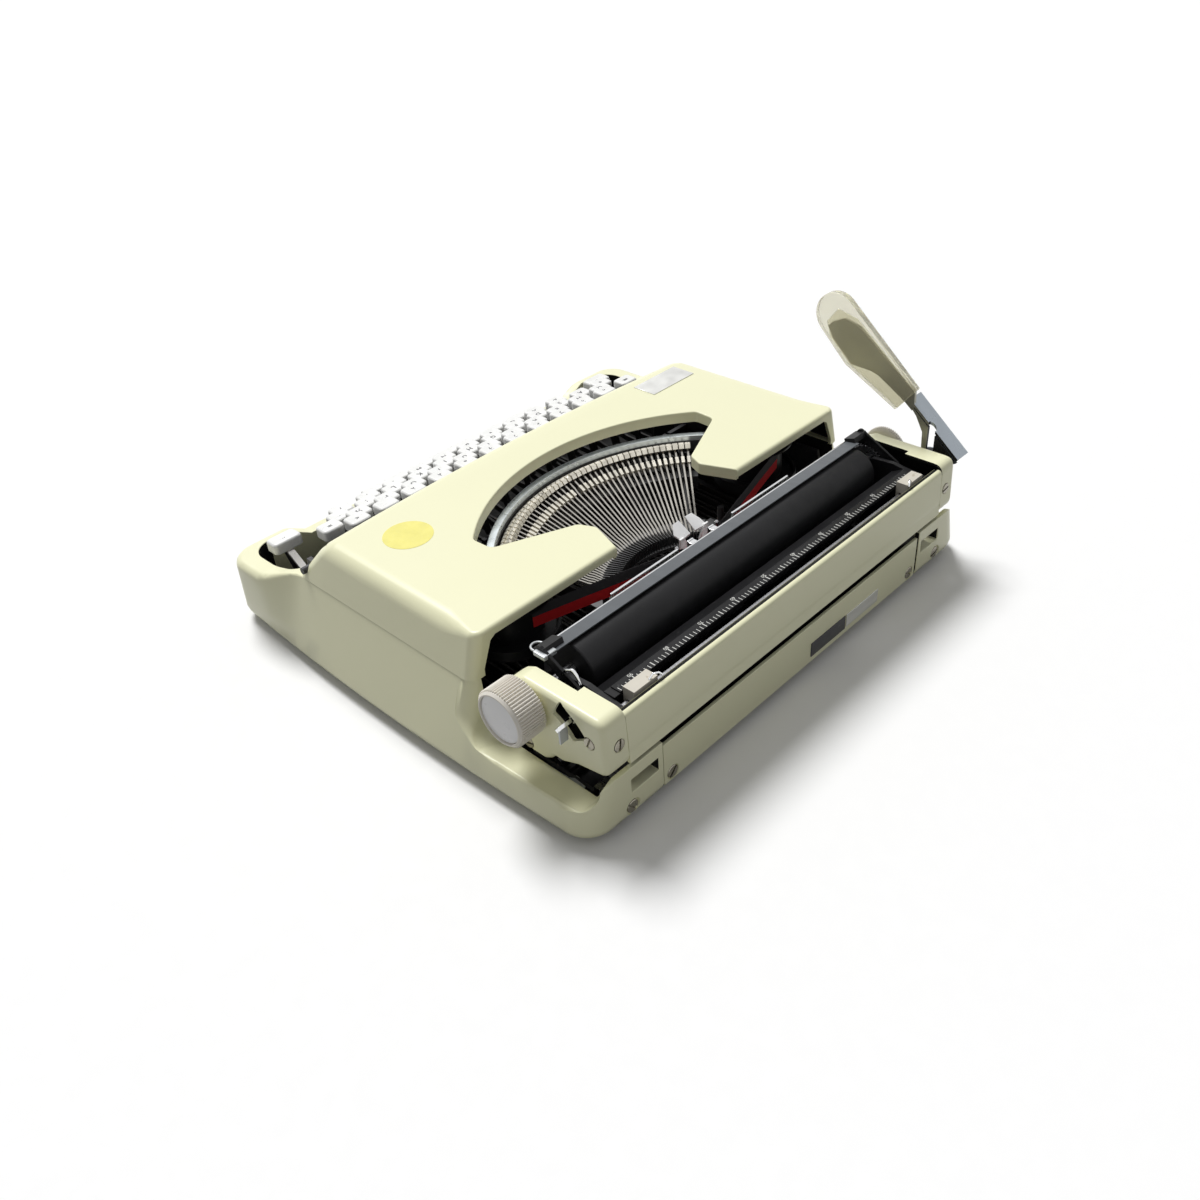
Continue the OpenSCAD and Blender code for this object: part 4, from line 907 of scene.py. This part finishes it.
COVER_FOOT, COVER_TOP, COVER_SHEET = 48, 73, 2
COVER_REAR, COVER_FRONT, TOP_FRONT, TOP_BOW = -85, -236, -214, 6.5
TOP_REAR_HALF, TOP_FRONT_HALF = 149, 148
REAR_ROUND, FRONT_ROUND = 6, 9
rear_y, foot_y, top_y = COVER_REAR - REAR_ROUND, COVER_FRONT + FRONT_ROUND, TOP_FRONT + FRONT_ROUND
cover_stations = [rear_y - 10 * k for k in range(1, 12)]
front_shares = [k / 12 for k in range(11, 0, -1)]
cover_foot = (arc(BRIM_HALF - REAR_ROUND, rear_y, REAR_ROUND, 90, 0, 6)
              + [(BRIM_HALF, y * 1.06 + 5.5) for y in cover_stations]
              + arc(BRIM_HALF - FRONT_ROUND, foot_y, FRONT_ROUND, 0, -90, 6)
              + [((BRIM_HALF - FRONT_ROUND) * share, COVER_FRONT) for share in front_shares])
cover_top = (arc(TOP_REAR_HALF - REAR_ROUND, rear_y, REAR_ROUND, 90, 0, 6)
             + [(TOP_REAR_HALF - (rear_y - y) / 130, y) for y in cover_stations]
             + arc(TOP_FRONT_HALF - FRONT_ROUND, top_y, FRONT_ROUND, 0, -90, 6)
             + [((TOP_FRONT_HALF - FRONT_ROUND) * share, TOP_FRONT - TOP_BOW * (1 - share ** 2))
                for share in front_shares])


def cover_solid(name, inset, low, top):
    """The pressed form of the cover, inside or outside, with wide bends along the edges of its top."""
    foot, brim = (inset_line(line, [inset] * len(line)) for line in (cover_foot, cover_top))
    bend = [max(1.2, 2.6 + 5.4 * smooth_step(y, -85, -112) - inset) for x, y in brim]
    rings = [[(x, y, low) for x, y in foot]]
    walls = [(b[0] + (f[0] - b[0]) * r / (top - low), b[1] + (f[1] - b[1]) * r / (top - low))
             for f, b, r in zip(foot, brim, bend)]
    flats = inset_line(brim, bend)
    for t in (0, 0.16, 0.33, 0.5, 0.67, 0.84, 1):
        ring = []
        for w, b, f, r in zip(walls, brim, flats, bend):
            x, y = ((w[i] * (1 - t) ** 2 + b[i] * 2 * t * (1 - t) + f[i] * t * t) for i in (0, 1))
            ring.append((x, y, top - r * (1 - t) ** 2))
        rings.append(ring)
    return loft(name, rings)


side_points = [(92.3, -137), (47.3, -117.2), (43, -107), (52, -82), (60, -60)]
opening = arc(0, -54.5, 134, -134, -46, 40) + side_points + [(-x, y) for x, y in reversed(side_points)]
opening = fillet(opening, 5, least=8)
cover = cover_solid("top_cover", 0, COVER_FOOT, COVER_TOP)
front_space = [(-153.5, 46), (153.5, 46), (151.2, 55), (144.5, 69.8), (-144.5, 69.8), (-151.2, 55)]
rear_right = [(146.5, 46), (146.3, 52), (140.3, 66), (137, 68)]
rear_space = rear_right + [(-x, z) for x, z in reversed(rear_right)]
combine(cover, "DIFFERENCE", cover_solid("inside", COVER_SHEET, COVER_FOOT - 1, COVER_TOP - COVER_SHEET),
        prism("key_space", front_space, "y", -241, -196), prism("rear_space", rear_space, "y", -91, -80),
        prism("opening", opening, "z", 40, 90))
rim = prism("rim", grow(opening, COVER_SHEET), "z", 66, 80)
combine(rim, "DIFFERENCE", prism("gap", opening, "z", 60, 90))
combine(rim, "INTERSECT", cover_solid("trim", 1, COVER_FOOT - 1, COVER_TOP - 1))
combine(cover, "UNION", rim)


def opening_edge(x, y, z):
    return 1.0 if z > COVER_TOP - 0.2 and -190 < y < -85.5 and abs(x) < 120 else 0.0


def cover_shade_faces(x, y, z, normal):
    """True on the faces that look down or inwards under the sheet, which are painted near-black as shade."""
    faces_in = normal.x * x < -0.5 * abs(x) or normal.y * (y + 160) < -30
    inner_wall = abs(x) < 154.2 and -234.5 < y < -86.8 and z < 65.8 and normal.z < 0.2 and faces_in
    return z < 71.2 and (normal.z < -0.5 or inner_wall)


soften(cover, 0.9, 3, opening_edge, least=60)
HINGE_X, HINGE_Y, HINGE_Z, HINGE_BORE = 153, -227, 53.2, 2.08
for side in (-1, 1):
    low, high = sorted((side * -8, side * 20))
    pin_hole = drill("pin_hole", HINGE_BORE, low, high, (side * HINGE_X, HINGE_Y, HINGE_Z), "x", 24)
    combine(cover, "DIFFERENCE", pin_hole)
finish_piece(cover, "cover", enamel, "cream_paint", "top_cover", crease=32)
# The underside and inner walls of the cover get painted shade.
paint_inner_shade(cover, cover_shade_faces)
paper_yellow = surface("yellow paper", (0.90, 0.83, 0.24), 0.7, mottle=0.06, blotch=120, grain=600,
                       relief=0.1)
spot_section = [(0, 0), (0, 14), (0.12, 14), (0.14, 13.8), (0.14, 0)]
paper_spot = lathe("cover_paper_spot", spot_section, (112.6, -182.2, COVER_TOP), "z", 64)
finish_piece(paper_spot, "cover", paper_yellow, "cream_paint", "top_cover")
badge = slab("cover_plate", (-135, -206, 72.9), (-95, -188, 73.5), 0.12, 1)
finish_piece(badge, "cover", bare_aluminium, "chrome", "cover_badge")

# Carriage frame: pressed steel end plates and runners in black lacquer, riveted together.
# The escapement rack and the ground margin rail lie between them, under the paper table.
wear_finish(black_japan, "carriage_frame")
wear_finish(ground_steel, "margin_rail")

# Carriage rear panel and end caps: pressed steel with generous bends, painted like the base.
# The panel is bent forwards along its top. Two screws at the side and one at the rear hold each cap.
rear_inner = [(-0.4, 33.6), (-2.4, 33.6), (-4.4, 60.5), (-7, 60.5), (-7, 62.6)]
rear_section = fillet(rear_inner, 0.3, least=30, steps=2)
rear_section += fillet([(-7, 62.6), (-1.9, 62.6), (-0.4, 33.6)], 3.2, least=30, steps=7)[7:-4]
carriage_back = prism("carriage_rear_panel", rear_section, "x", -135.2, 135.2)
finish_piece(carriage_back, "carriage", enamel, "cream_paint", "carriage_rear_panel", crease=50)


# The faces of the panel that look forwards or down are painted near-black as shade.
def panel_shade_faces(x, y, z, normal):
    return normal.y < -0.3 or normal.z < -0.5


paint_inner_shade(carriage_back, panel_shade_faces)
cap_side = [(-66, 46), (-66, 33), (-61, 24), (-52, 20.3), (-43, 20.3), (-39, 23), (-36, 26.5), (-31, 26),
            (-20, 30.5), (-0.6, 34), (-1.9, 65.5), (-54, 65.5), (-60, 62.5), (-66, 57)]
CAP_INNER, CAP_OUTER, CAP_SHEET = 135.5, 150, 2
SIDE_SCREWS = ((-53.7, 25.5), (-11, 50.4))
REAR_SCREW_X, REAR_SCREW_Z, SEAT = 140.8, 48.6, 3.5
PLATEN = (0, -50.8, 53.5)
SLOT_CENTRE, SLOT_OUTER, SLOT_INNER = (-43, 31.5), 36.4, 25.6


def end_cap(name, side):
    """One end cap, with room for the platen's end, its screw seats and, on the right, the lever's slot."""
    def cap_rounding(x, y, z):
        return 1.0 if abs(x) > CAP_OUTER - 0.1 else 0.0

    # The inner faces of the cap's pocket are painted near-black as shade.
    def cap_shade_faces(x, y, z, normal):
        faces_in = -65.5 < y < -2.6 and normal.y * (y + 33) < 0
        back_or_roof = abs(x) > CAP_INNER + 0.1 and (normal.x * side < -0.9 or normal.z < -0.7 and z > 40)
        return abs(x) < CAP_OUTER - CAP_SHEET + 0.2 and (faces_in or back_or_roof)

    cap = prism(name, fillet(cap_side, 6, least=8), "x", *sorted((side * CAP_INNER, side * CAP_OUTER)))
    soften(cap, 3, 4, cap_rounding, least=60)
    pocket_line = fillet(grow(cap_side, -CAP_SHEET), 4, least=8)
    pocket_ends = sorted((side * (CAP_INNER - 1), side * (CAP_OUTER - CAP_SHEET)))
    low, high = sorted((side * (CAP_INNER - 1), side * 139.5))
    tools = [prism("pocket", pocket_line, "x", *pocket_ends),
             slab("platen_space", (low, -70.8, 49.5), (high, -26.8, 80)),
             drill("shaft_hole", 3.6, -12, 12, (side * 145, *PLATEN[1:]), "x", 32)]
    low, high = sorted((side * -0.9, side * 3))
    for y, z in SIDE_SCREWS:
        tools.append(drill("seat", SEAT, low, high, (side * CAP_OUTER, y, z), "x", 28))
    tools.append(drill("rear_seat", SEAT, -2, 3, (side * REAR_SCREW_X, 0, REAR_SCREW_Z), "y", 28))
    if side > 0:
        slot_arc = arc(*SLOT_CENTRE, SLOT_OUTER, 33.2, 67, 6) + arc(*SLOT_CENTRE, SLOT_INNER, 69.2, 33.2, 6)
        tools.append(prism("lever_slot", fillet(slot_arc, 1.5, least=40), "x", 144, 153))
    combine(cap, "DIFFERENCE", *tools)
    finish_piece(cap, "carriage", enamel, "cream_paint", name, crease=32)
    paint_inner_shade(cap, cap_shade_faces)


end_cap("right_end_cap", 1)
end_cap("left_end_cap", -1)
(low_y, low_z), (high_y, high_z) = SIDE_SCREWS
for word, side, step in (("right", 1, 55), ("left", -1, 40)):
    screw_pair(word + "_cap_screws", "carriage", "cap_screws", 3.2, (side * (CAP_OUTER + 0.5), low_y, low_z),
               (0, high_y - low_y, high_z - low_z), (0, 15, side * -90), (0, step, 0))
screw_pair("rear_cap_screws", "carriage", "cap_screws", 3.2, (-REAR_SCREW_X, -0.7, REAR_SCREW_Z),
           (2 * REAR_SCREW_X, 0, 0), (0, 10, 0), (0, 70, 0))

# Paper table and scale: black lacquered sheet steel behind the platen, screwed to the carriage frame.
# A strip along it carries white printed marks, ten to the inch, with a figure at every tenth character.
table_black = surface("paper table black", (0.010, 0.010, 0.011), 0.35, mottle=0.3, worn=(0.04, 0.04, 0.04),
                      Specular_IOR_Level=0.15)
scale_white = surface("scale white", (0.72, 0.72, 0.68), 0.5, mottle=0.08)
CHARACTER, FIRST_MARK, FIRST_LONG_MARK = 2.54, -121.08, -116
wear_finish(table_black, "paper_table", "scale_strip")
short_marks = slab("scale_marks", (-0.18, -18.3, 60.85), (0.18, -15.7, 60.97))
repeated(short_marks, 97, scale_white, first=(FIRST_MARK * MM, 0, 0), pitch=(CHARACTER * MM, 0, 0))
finish_piece(short_marks, "carriage", scale_white, "black_paint", "scale_strip")
long_marks = slab("long_scale_marks", (-0.26, -18.9, 60.85), (0.26, -15.7, 60.98))
repeated(long_marks, 19, scale_white, first=(FIRST_LONG_MARK * MM, 0, 0), pitch=(5 * CHARACTER * MM, 0, 0))
finish_piece(long_marks, "carriage", scale_white, "black_paint", "scale_strip")
scale_body = slab("scale_strip_body", (-124, -21.5, 60.2), (124, -15.5, 60.9), 0.1, 1)
finish_piece(scale_body, "carriage", table_black, "black_paint", "scale_strip")


def on_strip(point, place):
    return spot(*place) + point


figures = []
for tens in range(1, 10):
    figures.append((str(10 * tens), 3.0, (FIRST_LONG_MARK + 10 * CHARACTER * tens, -20.1, 60.93)))
scale_figures = characters("scale_figures", figures, on_strip, 0.0)
finish_piece(scale_figures, "carriage", scale_white, "black_paint", "scale_strip")

# Platen: a sleeve of hard black rubber on a steel shaft with a ratchet wheel, over two feed rollers.
# It is turned by ribbed, moulded knobs at both ends, each with a pale disc pressed into its face.
platen_rubber = surface("platen rubber", (0.011, 0.011, 0.012), 0.5, mottle=0.25, blotch=30, grain=700,
                        relief=0.08, Specular_IOR_Level=0.2)
PLATEN_END, PLATEN_ROUND, SHAFT_ROUND = 120, 14.5, 3.05
roller_half = [(PLATEN_END, SHAFT_ROUND), (PLATEN_END, PLATEN_ROUND - 0.6), (PLATEN_END - 0.6, PLATEN_ROUND)]
roller_section = [(-along, radius) for along, radius in roller_half] + roller_half[::-1]
roller = lathe("platen_roller", roller_section, PLATEN, "x", 96, closed=True)
finish_piece(roller, "platen_set", platen_rubber, "black_rubber", "platen")
wear_finish(ground_steel, "platen_shaft")
wear_finish(platen_rubber, "front_feed_roller", "rear_feed_roller")
rib_beige = surface("knob rib beige", (0.82, 0.78, 0.70), 0.4, mottle=0.06, worn=(0.7, 0.66, 0.58))
disc_white = surface("knob disc", (0.93, 0.93, 0.93), 0.3, mottle=0.03)
KNOB_RIBS, KNOB_START = 60, 151.5
for word, way, length, radius, bore in (("right", 1, 16.5, 15.5, 12.2), ("left", -1, 5, 14, 3.7)):
    y, z = PLATEN[1:]
    start, face = way * KNOB_START, way * (KNOB_START + length - 1.4)
    barrel_section = [(0, SHAFT_ROUND), (0, radius - 2.2), (0.8, radius - 0.9), (length - 1.2, radius - 0.9),
                      (length, radius - 1.9), (length, radius - 2.6), (length - 2.2, radius - 2.6),
                      (length - 2.2, 0), (bore - 1.6, 0), (bore - 1.6, SHAFT_ROUND)]
    barrel_section = [(way * along, r) for along, r in barrel_section]
    barrel = lathe(word + "_knob", barrel_section, (start, y, z), "x", 96, closed=True)
    finish_piece(barrel, "platen_set", rib_beige, "ivory_plastic", "platen_knobs")
    low, high = sorted((start + way * 0.8, face))
    rib = slab(word + "_knob_ribs", (low, y + radius - 1.6, z - 0.4), (high, y + radius, z + 0.4), 0.25, 1)
    repeated(rib, KNOB_RIBS, rib_beige, step=(360 / KNOB_RIBS, 0, 0), about=spot(*PLATEN))
    finish_piece(rib, "platen_set", rib_beige, "ivory_plastic", "platen_knobs")
    disc_section = [(-0.8, 0), (-0.8, radius - 2.8), (0.2, radius - 2.8), (0.55, radius - 3.3), (0.6, 0)]
    disc_section = [(way * along, r) for along, r in disc_section]
    disc = lathe(word + "_knob_disc", disc_section, (face, y, z), "x", 64)
    finish_piece(disc, "platen_set", disc_white, "chrome", "knob_discs")

# Paper bail: a thin plate of dark rolled steel across the platen; a chrome wire along its front edge is
# partly a polished edge and partly a painted highlight.
# It is riveted to sprung arms at both ends, and bent wires form a hook and a loop at its right end.
bail_steel = surface("bail steel", (0.12, 0.13, 0.14), 0.35, mottle=0.1, stretch=(6, 1, 1),
                     Specular_IOR_Level=0.2)
bail_section = [(-59.4, 68.1), (-50.4, 69.5), (-50.4, 70.3), (-59.4, 68.9)]
bail_plate = soften(prism("bail_bar", bail_section, "x", -123, 131), 0.25, 2)
finish_piece(bail_plate, "bail", bail_steel, "steel", "bail_bar")
dressed("bail_arms", "bail_arms", "bail", black_japan, "steel", 0.3)


def wire(name, points, radius):
    """Round wire bent through the points, in millimetres."""
    curve = bpy.data.curves.new(name, "CURVE")
    curve.dimensions, curve.use_fill_caps = "3D", True
    curve.bevel_depth, curve.bevel_resolution = radius * MM, 3
    line = curve.splines.new("POLY")
    line.points.add(len(points) - 1)
    for place, point in zip(line.points, points):
        place.co = (*spot(*point), 1)
    holder = bpy.data.objects.new("bend", curve)
    bpy.context.scene.collection.objects.link(holder)
    obj = bpy.data.objects.new(name, plain_mesh(holder))
    bpy.context.scene.collection.objects.link(obj)
    bpy.data.objects.remove(holder)
    return obj


# The chrome wire along the front edge is partly a polished edge and partly a painted highlight.
bail_highlight_wire = wire("bail_edge_highlight", [(-122, -59.4, 68.8), (130.6, -59.4, 68.8)], 0.45)
finish_piece(bail_highlight_wire, "bail", chrome, "steel", "bail_bar")
hook_line = fillet([(-45.1, 60.4), (-39.6, 67.5), (-34.8, 70.1), (-32.5, 67.7), (-29.1, 60)], 3)[5:-5]
hook = wire("bail_hook", [(134, y, z) for y, z in hook_line], 0.8)
finish_piece(hook, "bail", chrome, "steel", "bail_arms")
clip_grey = surface("bail clip", (0.50, 0.52, 0.53), 0.35, metal=0.3, mottle=0.1)
clip = slab("bail_end_clip", (128.5, -58.5, 68.2), (137, -50.5, 70.9), 0.7)
finish_piece(clip, "bail", clip_grey, "steel", "bail_arms")
loop = wire("bail_end_loop", [(x, y, 68.4) for x, y in arc(131, -61.4, 3.4, 40, -220, 20)], 0.6)
finish_piece(loop, "bail", clip_grey, "steel", "bail_arms")

# Paper release lever: a bent strip of chromed steel on a pin inside the right end cap.
# Its tab stands out of the cap's slanted slot.
dressed("paper_release_lever", "paper_release_lever", "paper_release", chrome, "chrome", 0.4)
release_tab = slab("paper_release_tab", (151.8, -23.2, 47.8), (157, -22, 56.6), 0.4)
finish_piece(release_tab, "paper_release", clip_grey, "chrome", "paper_release_lever")

# Margin stops: ivory plastic mouldings that slide on the margin rail.
# Each is pushed along by hand and carries a bent wire in its top.
stop_ivory = surface("margin stop ivory", (0.66, 0.62, 0.53), 0.35, mottle=0.08, worn=(0.5, 0.44, 0.34))
for side, word in ((-1, "left"), (1, "right")):
    dressed(word + "_margin_stop", word + "_margin_stop", "stop_" + word, stop_ivory, "ivory_plastic", 0.5)
    bends = ((112, -8.6, 64), (109.6, -8.2, 66.2), (107.2, -6.8, 66.2), (105.6, -6, 64.4))
    spring = wire(word + "_stop_wire", [(side * x, y, z) for x, y, z in bends], 0.5)
    finish_piece(spring, "stop_" + word, chrome, "ivory_plastic", word + "_margin_stop")

# Return lever: a bent steel arm on an upright pin outside the left end cap.
# Its foot is a flange whose blue-grey is painted light on a lit edge, its web is black as lacquer and painted
# shade, and its blade wears a clear plastic sleeve.
dressed("lever_bracket", "lever_bracket", "carriage", black_japan, "dark_steel", 0.3)
olive_steel = surface("lever blade", (0.36, 0.35, 0.28), 0.35, metal=0.5, mottle=0.1)
flange_painted_light = surface("lever flange painted light", (0.36, 0.40, 0.44), 0.3, metal=0.6, mottle=0.1)
lever_arm = dressed("return_lever_arm", "return_lever_arm", "return_lever", black_japan, "steel", 0.3)
lever_arm.data.materials.append(olive_steel)
lever_arm.data.materials.append(flange_painted_light)
FLANGE_X, BLADE_Z = -157.8, 88
# Faces beyond the flange line get the blue-grey of painted light, and the black web below the blade is partly
# painted shade.
for face in lever_arm.data.polygons:
    if face.center.x / MM < FLANGE_X:
        face.material_index = 2
    elif (face.center.z - BASE_FLOOR) / MM > BLADE_Z:
        face.material_index = 1
sleeve_plastic = surface("lever sleeve", (0.86, 0.84, 0.72), 0.22, mottle=0.04, Transmission_Weight=0.85,
                         IOR=1.3)
dressed("return_lever_paddle", "return_lever_paddle", "return_lever", sleeve_plastic, "clear_plastic", 1.6, 3)

# Small works: the carriage lock lever in grey plated steel, on a pin under the right end cap.
# The lacquered mainspring drum and the ground escapement wheel turn on studs of the inner frame.
dressed("carriage_lock_lever", "carriage_lock_lever", "carriage_lock", clip_grey, "steel", 0.3)
wear_finish(black_japan, "mainspring_drum")
wear_finish(ground_steel, "escapement_wheel")

# Table top and light: a plain white sheet under soft light from above the keyboard side.
# The camera stands behind the right rear corner, as the photograph was taken.
FLOOR_HALF, FLOOR_BOUNCE, SKY_LEVEL = 6, 0.28, 0.27
floor_mesh = bmesh.new()
bmesh.ops.create_grid(floor_mesh, x_segments=1, y_segments=1, size=FLOOR_HALF)
floor = new_object("floor", floor_mesh)
floor_paint = surface("white table", (0.97, 0.97, 0.97), 0.9, mottle=0.0, relief=0.0)
paper = floor_paint.node_tree
paper_shader = paper.nodes["Principled BSDF"]
paper_colour = paper_shader.inputs["Base Color"].links[0].from_socket
bounce = paper.nodes.new("ShaderNodeLightPath")
bounce_mix = paper.nodes.new("ShaderNodeMix")
bounce_mix.data_type = "RGBA"
bounce_mix.inputs["B"].default_value = (FLOOR_BOUNCE, FLOOR_BOUNCE, FLOOR_BOUNCE, 1)
paper.links.new(bounce.outputs["Is Diffuse Ray"], bounce_mix.inputs["Factor"])
paper.links.new(paper_colour, bounce_mix.inputs["A"])
paper.links.new(bounce_mix.outputs["Result"], paper_shader.inputs["Base Color"])
floor.data.materials.append(floor_paint)

world = bpy.data.worlds.new("studio")
bpy.context.scene.world = world
world.use_nodes = True
sky = world.node_tree
back = sky.nodes["Background"]
back.inputs["Color"].default_value = (1, 1, 1, 1)
seen = sky.nodes.new("ShaderNodeLightPath")
either = sky.nodes.new("ShaderNodeMath")
any_seen = sky.nodes.new("ShaderNodeMath")
level = sky.nodes.new("ShaderNodeMath")
for node in (either, any_seen, level):
    node.operation = "MAXIMUM"
level.inputs[1].default_value = SKY_LEVEL
for source, target in ((seen.outputs["Is Glossy Ray"], either.inputs[0]),
                       (seen.outputs["Is Transmission Ray"], either.inputs[1]),
                       (seen.outputs["Is Camera Ray"], any_seen.inputs[0]),
                       (either.outputs[0], any_seen.inputs[1]),
                       (any_seen.outputs[0], level.inputs[0]),
                       (level.outputs[0], back.inputs["Strength"])):
    sky.links.new(source, target)

SUN_WAY = Vector((0.17, 0.52, -0.84))
lamp = bpy.data.lights.new("window light", "SUN")
lamp.energy = 2.8
lamp.angle = math.radians(22)
lamp_object = bpy.data.objects.new("window light", lamp)
lamp_object.rotation_euler = SUN_WAY.to_track_quat("-Z", "Y").to_euler()
bpy.context.scene.collection.objects.link(lamp_object)

camera = bpy.data.cameras.new("camera")
camera.sensor_width = 36
camera.lens = 33.007
camera.shift_x = -0.0059
camera.shift_y = -0.0063
camera.clip_start = 0.01
camera_object = bpy.data.objects.new("camera", camera)
CAMERA_PLACE = (0.38861, 0.40582, 0.39306)
across = (-0.686783, 0.724302, -0.060964)
down = (0.458696, 0.366813, -0.80935)
ahead = (-0.563851, -0.583811, -0.584155)
turn = Matrix((across, [-v for v in down], [-v for v in ahead])).transposed()
camera_object.matrix_world = Matrix.Translation(CAMERA_PLACE) @ turn.to_4x4()
bpy.context.scene.collection.objects.link(camera_object)
bpy.context.scene.camera = camera_object
bpy.context.scene.view_settings.view_transform = "Standard"
